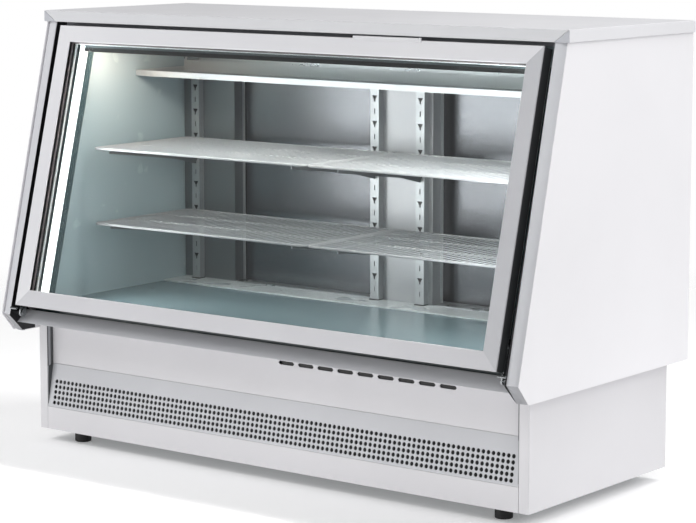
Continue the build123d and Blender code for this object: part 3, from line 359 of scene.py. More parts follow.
def spangled_zinc(name, colour, shade, roughness):
    """Hot-dip galvanised sheet: angular zinc crystals, each with its own grey and gloss."""
    made, tree, shader, place = new_finish(name, Metallic=1.0)
    flakes = add_node(tree, "ShaderNodeTexVoronoi", values={"Scale": per_mm(zinc_crystal)},
                      links={"Vector": place})
    grey = add_node(tree, "ShaderNodeSeparateColor", links={"Color": flakes.outputs["Color"]})
    colours = add_node(tree, "ShaderNodeMix", settings={"data_type": "RGBA"},
                       values={6: linear(shade), 7: linear(colour)}, links={0: grey.outputs["Red"]})
    tree.links.new(colours.outputs[2], shader.inputs["Base Color"])
    gloss = add_node(tree, "ShaderNodeMapRange",
                     values={"To Min": roughness - 0.1, "To Max": roughness + 0.1},
                     links={"Value": grey.outputs["Green"]})
    tree.links.new(gloss.outputs["Result"], shader.inputs["Roughness"])
    return made


def moulded_plastic(name, colour, shade, roughness):
    """Moulded plastic or rubber: a fine spark-eroded grain over an even colour."""
    made, tree, shader, place = new_finish(name, IOR=1.5)
    cloud = add_node(tree, "ShaderNodeTexNoise", values={"Scale": per_mm(mould_cloud), "Detail": 2.0},
                     links={"Vector": place})
    colours = add_node(tree, "ShaderNodeMix", settings={"data_type": "RGBA"},
                       values={6: linear(shade), 7: linear(colour)}, links={0: cloud.outputs["Fac"]})
    tree.links.new(colours.outputs[2], shader.inputs["Base Color"])
    grains = add_node(tree, "ShaderNodeTexNoise", values={"Scale": per_mm(mould_grain), "Detail": 2.0},
                      links={"Vector": place})
    gloss = add_node(tree, "ShaderNodeMapRange",
                     values={"To Min": roughness - 0.04, "To Max": roughness + 0.08},
                     links={"Value": grains.outputs["Fac"]})
    tree.links.new(gloss.outputs["Result"], shader.inputs["Roughness"])
    bump = add_node(tree, "ShaderNodeBump", values={"Strength": 0.5, "Distance": mould_depth * MM},
                    links={"Height": grains.outputs["Fac"]})
    tree.links.new(bump.outputs["Normal"], shader.inputs["Normal"])
    return made


def lit_diffuser(name, colour, glow):
    """Opal acrylic over lamp boards: bright all along, a touch weaker between the lamps."""
    made, tree, shader, place = new_finish(name, IOR=1.49, Roughness=0.5)
    dots = add_node(tree, "ShaderNodeTexWave", settings={"bands_direction": "Z"},
                    values={"Scale": per_mm(lamp_board_pitch), "Distortion": 0.0}, links={"Vector": place})
    colours = add_node(tree, "ShaderNodeMix", settings={"data_type": "RGBA"},
                       values={6: linear("F4F4EE"), 7: linear(colour)}, links={0: dots.outputs["Fac"]})
    tree.links.new(colours.outputs[2], shader.inputs["Base Color"])
    tree.links.new(colours.outputs[2], shader.inputs["Emission Color"])
    shader.inputs["Emission Strength"].default_value = glow
    return made


def float_glass(name):
    """Clear float glass: smooth, with a faint cool cast that varies a little across the pane."""
    made, tree, shader, place = new_finish(name, IOR=1.52, Transmission_Weight=1.0)
    cloud = add_node(tree, "ShaderNodeTexNoise", values={"Scale": per_mm(glass_cloud), "Detail": 3.0},
                    links={"Vector": place})
    cast = add_node(tree, "ShaderNodeMix", settings={"data_type": "RGBA"},
                    values={6: linear("F9FBFB"), 7: linear("FDFDFD")}, links={0: cloud.outputs["Fac"]})
    tree.links.new(cast.outputs[2], shader.inputs["Base Color"])
    shader.inputs["Roughness"].default_value = 0.0
    return made


# One finish for each material slot of the record: its paint or metal, with the lighter and the darker tone.
# The comment over each says what it gives the eye.
finishes = {
    # Large white panels with an even sheen, no sharp reflection
    "side_skin": baked_paint("off_white_powder_coat", "EDECEF", "E9E8EB", 0.42),
    # A greyer, glossier edge that catches the light along its curve
    "edge_trim": baked_paint("silver_lacquered_strip", "CDCED2", "C7C8CD", 0.3),
    # A flat pale top that reads a shade darker than the sides
    "top_skin": baked_paint("light_grey_coated_top", "E4E4E7", "DEDEE1", 0.34),
    # A light satin frame, the brightest part of the front
    "door_metal": baked_paint("satin_painted_aluminium", "DCDCDF", "D6D6DA", 0.3),
    # Cool pale walls that fade into shade away from the lamps
    "liner_metal": baked_paint("pale_grey_coated_liner", "A3B4B8", "9AABAF", 0.25),
    # Near-black lines in the gaps round the door; the same black is painted shade on sheets and plates set
    # where shadow falls
    "dark_trim": moulded_plastic("black_abs_and_painted_shade", "1D1C1E", "151416", 0.35),
    # A darker blue-grey floor with a soft gloss
    "deck_steel": baked_paint("blue_grey_coated_deck", "73878C", "6A7E83", 0.22),
    # A light strip along the back edge of the deck
    "threshold_steel": baked_paint("light_coated_threshold_steel", "C2CACC", "B8C1C3", 0.28),
    # A grey band under the door, glossier than the plinth
    "apron_paint": baked_paint("grey_lacquered_apron", "D6D7DB", "CFD0D5", 0.3),
    # A light, soft-looking plinth
    "base_paint": baked_paint("light_powder_coat", "DDDCDF", "D7D6D9", 0.4),
    # A cooler grey sheet that sets off the dark holes
    "grille_paint": baked_paint("cool_grey_powder_coat", "C6C7CB", "BFC0C4", 0.38),
    # Mottled grey crystals on the hidden rear and tray sheets
    "galvanised": spangled_zinc("hot_dip_zinc", "B4B8BA", "959A9D", 0.38),
    # Dull black feet that end the plinth at the floor
    "foot_rubber": moulded_plastic("black_foot_rubber", "1D1D1F", "151516", 0.6),
    # A soft metallic grey that brightens towards the lamps
    "rear_steel": baked_paint("satin_coated_rear_steel", "BCC1C3", "B2B7BA", 0.28, 0.8),
    # A pearly post between the rear doors
    "mullion_paint": baked_paint("pearl_coated_mullion", "B6B8BA", "AEB0B2", 0.34, 0.7),
    # Plain mid-grey rails under and over the rear doors
    "track_plastic": moulded_plastic("grey_pvc_track", "7C7F82", "707376", 0.4),
    # Bright uprights against the darker rear doors
    "pilaster_metal": baked_paint("pearl_coated_upright", "BFC3C5", "B7BBBD", 0.34, 0.75),
    # Fine pale lines with a small highlight on each wire
    "shelf_wire": baked_paint("epoxy_coated_wire", "B9BCBE", "AFB2B4", 0.3),
    # A pale tray with a soft, wide highlight
    "tray_metal": baked_paint("pearl_coated_tray", "C6CBCD", "BDC2C4", 0.45, 0.5),
    # Fine upright lines, like the edges of packed fins
    "fin_metal": brushed_metal("aluminium_fin_stock", "B4B7B9", "9A9DA0", 0.4, "Z"),
    # A dark teal line beside the bright lamp cover
    "lamp_channel": moulded_plastic("grey_teal_lamp_channel", "374D52", "304549", 0.35),
    # A bright cool bar at each end of the opening
    "lamp_lens": lit_diffuser("opal_acrylic_lens", "E9F4F6", 2.2),
    # Clear panes, seen by faint reflections and a slight tint
    "clear_glass": float_glass("clear_float_glass"),
    # A thin warm grey line between the panes
    "spacer_metal": baked_paint("grey_anodised_spacer", "9C9295", "90868A", 0.4, 0.3),
    # A dull black line that frames the glass; the same black is painted shade on the sheets behind the holes
    "black_seal": moulded_plastic("black_seal_and_painted_shade", "121213", "0C0C0D", 0.45),
    # A soft pale lip behind the door
    "gasket_rubber": moulded_plastic("pale_soft_gasket", "EEF2F2", "E6EAEA", 0.55),
    # Small bright fasteners and edge profiles
    "bright_steel": brushed_metal("zinc_plated_steel", "C4C7C9", "A5A8AB", 0.25, "Z"),
    # Smooth grey doors that mirror a soft gradient
    "rear_door_skin": brushed_metal("satin_grey_door_skin", "86888C", "7E8084", 0.24, "Z"),
    # A smooth dark shell with a small highlight
    "machine_black": baked_paint("black_machine_enamel", "1C1D1F", "141517", 0.35),
    # Dull black shroud and fittings
    "machine_black_plastic": moulded_plastic("black_glass_filled_nylon", "1E1F20", "151617", 0.5),
    # Grey blades, a little lighter than the shroud
    "fan_plastic": moulded_plastic("grey_fan_polypropylene", "3A3D40", "2F3235", 0.45),
    # A plain grey pan
    "pan_plastic": moulded_plastic("grey_pan_abs", "6A6D70", "5E6164", 0.4),
    # Warm reddish pipes among the grey
    "copper_pipe": brushed_metal("drawn_copper", "C67B52", "A8603B", 0.3, "X"),
    # A dark box with a fine grain
    "control_plastic": moulded_plastic("black_control_abs", "222325", "18191A", 0.4),
}

# Finishes of single pieces

# A dark flank under the light face of the door frame; the same dark is painted shade on the plinth's edge
# strips
stile_side_finish = moulded_plastic("charcoal_core_and_painted_shade", "4A4C4E", "3F4143", 0.4)
# A muted grey strip above the opening
shield_finish = baked_paint("grey_anodised_shield", "656F71", "5E6769", 0.4, 0.2)
# Painted shade: a greyer tone where the strip folds back under the nose, also on the plinth's inner faces
return_shade_finish = baked_paint("grey_return_painted_shade", "9FA0A4", "97989C", 0.3)
# Painted shade: the same coated wire, a tone darker on the lower shelves
lower_wire_shade_finish = baked_paint("coated_lower_wire_painted_shade", "9FA2A4", "96999B", 0.3)
# Painted shade: corner pieces a tone greyer than the band, so the mitre shows; the strip in the header gap
# takes it too
corner_shade_finish = baked_paint("grey_corner_painted_shade", "B4B6BC", "A9ABB2", 0.3)
# Painted shade: the right stile a tone under the top rail
right_stile_shade_finish = baked_paint("satin_stile_painted_shade", "BFC0C4", "B9BABE", 0.3)
# Painted shade: the bottom rail a tone under the top rail
bottom_rail_shade_finish = baked_paint("satin_lower_rail_painted_shade", "C9C9CD", "C3C3C7", 0.3)
# Painted shade: the top's front band a tone under the door's top rail
top_band_shade_finish = baked_paint("satin_top_band_painted_shade", "CCCDD0", "C6C7CA", 0.32)
# Painted shade: rear uprights and shelf arms a tone under the mullion
rear_stile_shade_finish = baked_paint("satin_rear_stile_painted_shade", "84898C", "7C8184", 0.3, 0.8)

slot_of = {part["node"]: part["material_slot"] for part in frame["record"]["subparts"]}
# Rear uprights and shelf arms take the darker tone, painted shade
node_finishes = {"rear_stiles": rear_stile_shade_finish, "shelf_brackets": rear_stile_shade_finish}
for name, node in frame["nodes"].items():
    node.data.materials.clear()
    node.data.materials.append(node_finishes.get(name, finishes[slot_of[name]]))


# Cabinet: end panels, trims and top

both_sides = ((-1, "left"), (1, "right"))
nose_radius = 7.0
arc_steps = 6


def round_corner(before, corner, after, radius):
    """Points of an arc that rounds one corner of an outline in Y and Z."""
    before, corner, after = Vector(before), Vector(corner), Vector(after)
    to_before = (before - corner).normalized()
    to_after = (after - corner).normalized()
    half_turn = to_before.angle(to_after) / 2
    middle = (to_before + to_after).normalized()
    centre = corner + middle * radius / sin(half_turn)
    start = corner + to_before * radius / tan(half_turn) - centre
    end = corner + to_after * radius / tan(half_turn) - centre
    return [tuple(centre + start.slerp(end, i / arc_steps)) for i in range(arc_steps + 1)]


def side_outline(inset):
    """Outline of an end panel in Y and Z, with a rounded nose, set back by an inset at the front."""
    top = (front_y(slab_low_z, -inset), slab_low_z)
    nose = (front_y(nose_z, -inset), nose_z)
    low = (nose_y + nose_return + inset, end_bottom_z)
    rear = [(rear_y, end_bottom_z), (rear_y, slab_low_z)]
    return [top] + round_corner(top, nose, low, nose_radius) + [low] + rear


# Each panel is a thin outer skin on a core that stands back from it at the front
skin_x = half_width - 2.1
skin_gap = 0.5
core_inset = 7.6
for side, word in both_sides:
    panel = Stock()
    panel.side_prism(side_outline(core_inset), side * end_inner_x, side * (skin_x - skin_gap))
    panel.side_prism(side_outline(0.0), side * skin_x, side * half_width)
    make(f"end_panel_skin_{word}", panel, "cabinet", "side_skin", [f"end_panel_{word}"], bevel=0.5)

# Rolled edge strips: flat beside the door, then curving back towards the outer skin. Each pair is the
# distance out from the panel's inner face and the depth behind the panel's front.
trim_section = [(0.0, 7.4), (0.0, 1.6), (0.35, 0.5), (1.2, 0.05), (2.5, 0.0), (9.0, 0.1), (14.0, 0.45),
                (18.0, 1.1), (21.5, 2.1), (24.5, 3.3), (27.0, 4.7), (29.0, 6.2), (29.8, 7.4)]
top_point = Vector((front_y(slab_low_z, 0), slab_low_z))
low_point = Vector((nose_y + nose_return, end_bottom_z))
nose_arc = [Vector(p) for p in round_corner(top_point, (nose_y, nose_z), low_point, nose_radius)]
trim_path = [top_point] + nose_arc + [low_point]


def trim_length(stock, side, path, ends):
    """One length of the rolled strip along a path in the side view, with level cuts at the ends named."""
    rings = []
    for i, point in enumerate(path):
        along = (path[min(i + 1, len(path) - 1)] - path[max(i - 1, 0)]).normalized()
        inward = Vector((-along.y, along.x))
        if i in ends:
            inward = Vector((1.0 / abs(inward.x), 0.0))
        rings.append([(side * (end_inner_x + across), point.x + inward.x * depth, point.y + inward.y * depth)
                      for across, depth in trim_section])
    stock.loft(rings)


for side, word in both_sides:
    trims, returns = Stock(), Stock()
    trim_length(trims, side, trim_path[:-1], (0,))
    trim_length(returns, side, trim_path[-2:], (1,))
    make(f"edge_trim_strip_{word}", trims, "cabinet", "edge_trim", ["edge_trims"], smooth_deg=50)
    # The length under the nose in the greyer tone, painted shade
    make(f"edge_trim_return_{word}", returns, "cabinet", "edge_trim", ["edge_trims"], smooth_deg=50,
         finish=return_shade_finish)

# Dark lining of the gap round the door: black strips up each side behind the door's edge, a thin black plate
# under the header, and black sheets on the inner faces of the end panels and down inside the nose, painted
# shade where the gap and the nose lie in shadow
lining_front_n, lining_back_n = -1.7, -37.0
lining_high_z, lining_low_z = slab_low_z - 0.2, end_bottom_z + 2.0
lining_rear_y = -262.0
gap_shade_outline = [
    (front_y(slab_low_z, lining_front_n), lining_high_z),
    (front_y(324, lining_front_n), 324.0),
    (nose_y + 2.6, nose_z + 0.5),
    (nose_y + nose_return - 1.0, lining_low_z),
    (lining_rear_y, lining_low_z),
    (lining_rear_y, 310.0),
    (front_y(350, lining_back_n), 350.0),
    (front_y(slab_low_z, lining_back_n), lining_high_z),
]
linings = Stock()
for side in (-1, 1):
    linings.side_prism(gap_shade_outline, side * (end_inner_x - 0.5), side * (end_inner_x - 0.02))
    linings.front_block(side * 699, side * 717.4, 68, 709, -37.2, -33.4)
linings.front_block(-656, 656, 675.2, 675.95, -50, -77.2)
make("gap_strips_and_painted_shade", linings, "cabinet", "dark_trim", ["breaker_strips"])

# Strip on the header, in the gap between the door's top rail and the top, in the corners' greyer tone,
# painted shade
gap_low_z, gap_high_z = 1009.0, slab_low_z - 0.2
gap_front_n = seat_n + 3.6
gap_half = end_inner_x - 0.6
gap_corners = ((gap_low_z, gap_front_n), (gap_high_z, gap_front_n), (gap_high_z, seat_n), (gap_low_z, seat_n))
gap_strip = Stock()
gap_strip.side_prism([(front_y(z, n), z) for z, n in gap_corners], -gap_half, gap_half)
make("header_gap_strip", gap_strip, "cabinet", "edge_trim", bevel=0.3, finish=corner_shade_finish)

band_sheet = 2.0
band_back_y = slab_front_y + band_sheet
top = Stock()
top.box(-slab_edge_x, slab_edge_x, band_back_y, rear_y, slab_low_z, slab_top_z)
make("top_slab", top, "cabinet", "top_skin", ["top_panel"], bevel=1.2, steps=3)

# Front band of the top with its mitred corner pieces, each with a hairline joint between; their darker tones
# are painted shade
band_low_z = slab_low_z + 0.4
band_half_top, band_half_low = slab_edge_x - 1.6, end_inner_x + 0.5
band_outline = [(-band_half_top, slab_top_z - 0.5), (band_half_top, slab_top_z - 0.5),
                (band_half_low, band_low_z), (-band_half_low, band_low_z)]
band = Stock()
band.prism([(x, band_back_y, z) for x, z in band_outline], (0, -band_sheet, 0))
make("top_front_band", band, "cabinet", "door_metal", ["top_trims"], bevel=0.5, finish=top_band_shade_finish)
corner_outline = [(slab_edge_x, slab_top_z - 1.0), (slab_edge_x, band_low_z), (end_inner_x + 1.3, band_low_z)]
for side, word in both_sides:
    corner = Stock()
    corner.prism([(side * x, band_back_y, z) for x, z in corner_outline], (0, -band_sheet, 0))
    make(f"top_band_corner_{word}", corner, "cabinet", "door_metal", ["top_trims"], bevel=0.4,
         finish=corner_shade_finish)


# Front door: four mitred rails, each a light face over a dark core

def frame_corner(index, inset):
    """A corner of the door frame, set in by an inset: bottom left first, then round to top left."""
    x = door_half - inset
    s = door_high_s - inset if index in (2, 3) else door_low_s + inset
    return (x if index in (1, 2) else -x, s)


def frame_run(stock, index, section, gap):
    """One side of the frame with mitred ends: a section of inset and height, and the joint's half gap."""
    rings = []
    for end, other in ((index, (index + 1) % 4), ((index + 1) % 4, index)):
        ring = []
        for inset, n in section:
            here = Vector(frame_corner(end, inset))
            there = Vector(frame_corner(other, inset))
            spot = here + (there - here).normalized() * gap
            ring.append(on_front(spot.x, spot.y, n))
        rings.append(ring)
    stock.loft(rings)


def frame_ring(stock, section):
    """A closed ring round the glass, of one section of inset and height."""
    rings = [[on_front(*frame_corner(index, inset), n) for inset, n in section] for index in range(4)]
    stock.loft(rings, closed=True)


mitre_half_gap = 0.12
rail_names = ("door_bottom_rail", "door_right_stile", "door_top_rail", "door_left_stile")
# The bottom rail and the right stile take darker tones, painted shade
rail_finishes = (bottom_rail_shade_finish, right_stile_shade_finish, None, None)
face_section = [(0.0, 3.6), (0.0, 5.4), (0.5, 6.6), (1.8, 7.0), (37.6, 7.0), (39.0, 6.6), (39.5, 5.6),
                (39.5, 2.2), (36.0, 2.2), (36.0, 3.6)]
core_section = [(0.8, -27.0), (0.8, 3.5), (28.0, 3.5), (28.0, -27.0)]
for index, name in enumerate(rail_names):
    face, core = Stock(), Stock()
    frame_run(face, index, face_section, mitre_half_gap)
    frame_run(core, index, core_section, 0.0)
    make(name + "_face", face, "front_door", "door_metal", [name], smooth_deg=12,
         finish=rail_finishes[index])
    make(name + "_core", core, "front_door", "dark_trim", [name], bevel=0.3, finish=stile_side_finish)

# Seals before and behind the panes, the spacer between them, and the gasket's soft lips
front_seal = [(28.2, 2.0), (28.2, -0.4), (40.0, -0.4), (40.0, 4.8), (39.6, 5.2), (39.6, 2.0)]
rear_seal = [(31.0, -9.6), (31.0, -15.4), (40.2, -15.4), (40.2, -9.6)]
seals = Stock()
frame_ring(seals, front_seal)
frame_ring(seals, rear_seal)
make("glazing_seals", seals, "front_door", "black_seal", ["glazing_beads"])
spacer = Stock()
frame_ring(spacer, [(31.0, -4.6), (31.0, -9.5), (40.0, -9.5), (40.3, -9.0), (40.3, -5.1), (40.0, -4.6)])
make("spacer_bar", spacer, "front_door", "spacer_metal", ["glass_spacer"])
glass_bead = [(28.2, -19.6), (28.2, -27.0), (39.4, -27.0), (40.2, -26.0), (40.2, -19.6)]
soft_lips = [(4.0, -27.1), (4.0, -33.0), (6.5, -37.0), (10.0, -37.2), (13.0, -33.0), (16.0, -37.2),
             (20.0, -37.0), (24.0, -33.0), (24.0, -27.1)]
lips = Stock()
frame_ring(lips, glass_bead)
frame_ring(lips, soft_lips)
make("door_gasket_lips", lips, "front_door", "gasket_rubber", ["door_gasket"], smooth_deg=60)

# The pull: a thin folded lip on the top rail, with a metal cap at one end, and at the other a black end
# that is painted shade where the pull's notch lies in shadow
pull_left_x, pull_right_x = 195.0, 374.0
pull_section = [(713, -18), (715, -18), (715, 4.8), (717.4, 5.4), (718, 6.4), (717.6, 7.7), (708.4, 7.9),
                (708, 7.05), (713, 7.05)]
cap_section = [(707.6, 7.05), (718.6, 6.0), (718.6, 8.6), (707.6, 8.6)]
pull = Stock()
pull.front_prism(pull_section, pull_left_x, pull_right_x)
pull.front_prism(cap_section, pull_right_x + 1.0, pull_right_x + 7.0)
make("door_pull_lip", pull, "front_door", "door_metal", ["door_pull"], bevel=0.2)
# The black end, painted shade in the notch
pull_end = Stock()
pull_end.front_block(pull_left_x - 6.0, pull_left_x - 0.5, 713.2, 717.4, 4.0, 7.4)
make("door_pull_end", pull_end, "front_door", "dark_trim", bevel=0.5)

# Rods beside the door's arms, each with a round head
rod_x, rod_radius = 703.2, 1.7
rod_path = [(84, -24), (40, -25), (20, -22)]
head_profile = [(0.0, 0.0), (5.0, 0.0), (5.4, 0.5), (5.4, 2.2), (3.0, 2.8), (0.0, 2.8)]
rods = Stock()
for side in (-1, 1):
    rods.tube([on_front(side * rod_x, s, n) for s, n in rod_path], rod_radius, 10)
    rods.turned(head_profile, on_front(side * (rod_x - 2.0), 84, -25), (side, 0, 0), 20)
make("pivot_link_rods", rods, "front_door", "bright_steel", smooth_deg=50)

# Lamp channels with their opal covers, at both ends of the opening
lens_front, lens_back = -38.4, -65.8
lens_middle = (lens_back + lens_front) / 2
channel_front = seat_n - 0.4
groove_x = post_inner_x + 3.4
channel_section = [(post_inner_x, channel_front), (liner_x, channel_front), (liner_x, post_back_n),
                   (post_inner_x, post_back_n), (post_inner_x, lens_back - 0.3), (groove_x, lens_back - 0.3),
                   (groove_x, lens_front + 0.3), (post_inner_x, lens_front + 0.3)]
cover_section = [(post_inner_x + 3.0, lens_back), (post_inner_x - 0.2, lens_back),
                 (post_inner_x - 1.6, lens_back + 2.5), (post_inner_x - 2.2, lens_back + 7),
                 (post_inner_x - 2.4, lens_middle), (post_inner_x - 2.2, lens_front - 7),
                 (post_inner_x - 1.6, lens_front - 2.5), (post_inner_x - 0.2, lens_front),
                 (post_inner_x + 3.0, lens_front)]
channels, covers = Stock(), Stock()
for side in (-1, 1):
    channels.slope_prism([(side * x, n) for x, n in channel_section], sill_top_s + 0.3, header_s - 0.3)
    covers.slope_prism([(side * x, n) for x, n in cover_section], sill_top_s + 1.5, header_s - 1.5)
make("lamp_channel_extrusions", channels, "cabinet", "lamp_channel", ["lamp_posts"], bevel=0.4)
make("lamp_covers", covers, "cabinet", "lamp_lens", ["lamp_lenses"], smooth_deg=60)

# Shield that hides the top lamp from the front, with a black lip
shield_n, shield_sheet = -52.0, 1.5
lip_low_s, lip_high_s = 661.0, 671.0
shield, lip = Stock(), Stock()
shield.front_block(-post_inner_x, post_inner_x, lip_high_s, header_s - 0.3, shield_n, shield_n - shield_sheet)
lip.front_block(-post_inner_x, post_inner_x, lip_low_s, lip_high_s, shield_n + 1.0, shield_n - 2.5)
make("top_lamp_shield", shield, "cabinet", "lamp_channel", bevel=0.3, finish=shield_finish)
make("top_lamp_shield_lip", lip, "cabinet", "black_seal", bevel=0.5)


# Slotted uprights: folded channels with keyholes and a narrow slot under each. Dark plates behind the holes
# and a dark strip at each foot are painted shade where the channel's inside and the foot lie in shadow

def keyhole(x, z):
    """Outline of a keyhole: a wedge 15 mm wide over a short stem."""
    half = [(2.2, -8.5), (2.4, -2.8), (7.4, 5.2), (7.6, 7.0)]
    return [(x + a, z + b) for a, b in half] + [(x - a, z + b) for a, b in reversed(half)]


def slot_hole(x, half, low_z, high_z):
    """Outline of an upright slot about x, between two heights."""
    return [(x - half, low_z), (x + half, low_z), (x + half, high_z), (x - half, high_z)]


upright_places = (-642.0, -68.0, 68.0, 642.0)
upright_half, upright_sheet = 12.5, 2.0
upright_y = 254.0
upright_low_z, upright_high_z = 345.3, 872.8
first_keyhole_z, keyhole_pitch, keyhole_count = 404.0, 62.0, 8
back_y = upright_y + upright_sheet
uprights, upright_shade = Stock(), Stock()
for x in upright_places:
    holes = [slot_hole(x, 1.3, 366.0, 378.0)]
    for i in range(keyhole_count):
        z = first_keyhole_z + keyhole_pitch * i
        holes.append(keyhole(x, z))
        if i:
            holes.append(slot_hole(x, 1.7, z - 38.0, z - 25.0))
    uprights.pierced(slot_hole(x, upright_half, upright_low_z, upright_high_z), holes,
                     lambda a, b: (a, upright_y, b), (0, upright_sheet, 0))
    for edge in (-1, 1):
        low_x, high_x = sorted((x + edge * upright_half, x + edge * (upright_half - upright_sheet)))
        uprights.box(low_x, high_x, back_y, wall_y, upright_low_z, upright_high_z)
    upright_shade.box(x - 10.3, x + 10.3, back_y + 0.2, back_y + 0.8, 346.0, 872.0)
    upright_shade.box(x - 13.5, x + 13.5, upright_y - 4.0, wall_y, 345.1, 347.4)
make("slotted_uprights", uprights, "cabinet", "pilaster_metal", ["pilasters"])
make("upright_painted_shade_plates", upright_shade, "cabinet", "dark_trim", bevel=0.2)

# Lips along the inner edge of the rear doorways
jambs = Stock()
for low_x, high_x in ((-525.8, -518.0), (93.2, 101.5)):
    jambs.box(low_x, high_x, 302.6, 304.8, 348.0, 879.0)
make("jamb_lip_strips", jambs, "cabinet", "pilaster_metal", bevel=0.4)


# Pierced grille with round holes

hole_pitch = 13.0
hole_radius = 4.9
hole_rows = 5
hole_sides = 16
first_row = 11.0
grille_columns = 104
grille_sheet = 2.0
grille_rise = Vector((0, lower_panel_y - plinth_front_y, grille_high_z - grille_low_z))
grille_length = grille_rise.length
grille_up = grille_rise.normalized()
grille_out = Vector((0, -grille_up.z, grille_up.y))


def on_grille(x, v, depth):
    """A point v up the grille and a depth behind its face."""
    return Vector((x, plinth_front_y, grille_low_z)) + grille_up * v - grille_out * depth


# Each hole has a square cell of its own, cut from its circle to the cell's edges
grille = Stock()
cell_half = hole_pitch / 2
grid_left = -grille_columns * cell_half
for column in range(grille_columns):
    for row in range(hole_rows):
        cx = grid_left + cell_half + column * hole_pitch
        cv = first_row + row * hole_pitch
        circle, square = [], []
        for angle in turns(hole_sides):
            reach = cell_half / max(abs(cos(angle)), abs(sin(angle)))
            circle.append((cx + hole_radius * cos(angle), cv + hole_radius * sin(angle)))
            square.append((cx + reach * cos(angle), cv + reach * sin(angle)))
        points = [on_grille(x, v, 0.0) for x, v in square + circle]
        points += [on_grille(x, v, grille_sheet) for x, v in circle + square]
        faces = []
        for i in range(hole_sides):
            j = (i + 1) % hole_sides
            for ring in range(3):
                a, b = ring * hole_sides, (ring + 1) * hole_sides
                faces.append((a + i, a + j, b + j, b + i))
        grille.add(points, faces)

# The plain margins meet the cells at every point of their edges
low_v = first_row - cell_half
high_v = low_v + hole_rows * hole_pitch
corner_step = cell_half * tan(pi / 8)
marks = [0.0, cell_half - corner_step, cell_half, cell_half + corner_step]
grid_x = [grid_left + column * hole_pitch + mark for column in range(grille_columns) for mark in marks]
grid_x.append(-grid_left)
grid_v = [low_v + row * hole_pitch + mark for row in range(hole_rows) for mark in marks]
grid_v.append(high_v)
outer = [(-lower_half, 0.0), (lower_half, 0.0), (lower_half, grille_length), (-lower_half, grille_length)]
margins = [
    outer[0:2] + [(x, low_v) for x in reversed(grid_x)],
    outer[1:3] + [(-grid_left, v) for v in reversed(grid_v)],
    outer[2:4] + [(x, high_v) for x in grid_x],
    [outer[3], outer[0]] + [(grid_left, v) for v in grid_v],
]
for margin in margins:
    for depth in (0.0, grille_sheet):
        grille.add([on_grille(x, v, depth) for x, v in margin], [tuple(range(len(margin)))])
for i in range(4):
    start, end = outer[i], outer[(i + 1) % 4]
    grille.add([on_grille(*start, 0.0), on_grille(*end, 0.0), on_grille(*end, grille_sheet),
                on_grille(*start, grille_sheet)], [(0, 1, 2, 3)])
make("pierced_grille", grille, "cabinet", "grille_paint", ["front_grille"], smooth_deg=50, weld=0.01)

# Dark sheets close behind the holes and the air slots, painted shade where the holes lie in shadow
mat_half = 680.0
mat_corners = ((4, 7), (72, 7), (72, 10), (4, 10))
hole_shade_mats = Stock()
hole_shade_mats.prism([on_grille(-mat_half, v, depth) for v, depth in mat_corners], (2 * mat_half, 0, 0))
hole_shade_mats.box(30, 512, -226.5, -225.5, 262, 286)
make("hole_painted_shade_mats", hole_shade_mats, "cabinet", "black_seal", bevel=0.3)


# Shelves: round wires, resistance-welded, with a bent rim and two cross bars under the wires

shelf_front, shelf_rear = -102.0, 252.0
shelf_inner, shelf_outer = 4.0, 665.0
rim_radius, rim_bend = 3.0, 9.0
bar_radius, wire_radius = 2.5, 1.5
wire_count = 36
x0, x1 = shelf_inner + rim_radius, shelf_outer - rim_radius
y0, y1 = shelf_front + rim_radius, shelf_rear - rim_radius
wire_pitch = (x1 - x0) / (wire_count + 1)
rim_corners = ((x1 - rim_bend, y0 + rim_bend, -pi / 2), (x1 - rim_bend, y1 - rim_bend, 0.0),
               (x0 + rim_bend, y1 - rim_bend, pi / 2), (x0 + rim_bend, y0 + rim_bend, pi))
# The lower shelves take the darker tone, painted shade
for level, shelf_z, wire_finish in (("lower", 525.0, lower_wire_shade_finish), ("upper", 711.0, None)):
    for side, word in both_sides:
        shelf = Stock()
        rim_z = shelf_z - rim_radius
        rim = []
        for cx, cy, start in rim_corners:
            for i in range(6):
                angle = start + pi / 2 * i / 5
                rim.append((side * (cx + rim_bend * cos(angle)), cy + rim_bend * sin(angle), rim_z))
        shelf.tube(rim, rim_radius, 10, closed=True)
        for share in (1 / 3, 2 / 3):
            y = shelf_front + (shelf_rear - shelf_front) * share + bar_radius
            shelf.tube([(side * x, y, rim_z - 0.5) for x in (x0, x1)], bar_radius, 8)
        for i in range(wire_count):
            x = side * (x0 + wire_pitch * (i + 1))
            shelf.tube([(x, y, shelf_z - wire_radius) for y in (y0, y1)], wire_radius, 8)
        make(f"wire_shelf_mesh_{level}_{word}", shelf, "cabinet", "shelf_wire",
             [f"wire_shelf_{level}_{word}"], smooth_deg=60, finish=wire_finish)


# Plinth: inner faces beside the tilted grille in a greyer tone, with dark strips and a dark wedge along their
# edges, all painted shade in the recess beside the grille

plinth_shade_section = [(-249.4, 93.0), (-249.4, 301.0), (-230.6, 301.0), (-230.6, 190.0)]
strip_sections = (
    [(-249.5, 186.0), (-249.5, 301.2), (-247.0, 301.2), (-247.0, 186.0)],
    [(-238.5, 186.0), (-238.5, 301.2), (-230.5, 301.2), (-230.5, 190.0)],
    [(-249.5, 92.6), (-246.0, 186.0), (-230.5, 190.0)],
)
plinth_shade_sheets, plinth_shade_strips = Stock(), Stock()
for side in (-1, 1):
    plinth_shade_sheets.side_prism(plinth_shade_section, side * 689.45, side * 688.6)
    for section in strip_sections:
        plinth_shade_strips.side_prism(section, side * 689.0, side * 688.0)
make("plinth_inner_painted_shade", plinth_shade_sheets, "cabinet", "base_paint", finish=return_shade_finish)
make("plinth_painted_shade_strips", plinth_shade_strips, "cabinet", "dark_trim", finish=stile_side_finish)


# Rear and machine details: fin edges of both coils, screw heads, edge profiles of the sliding doors

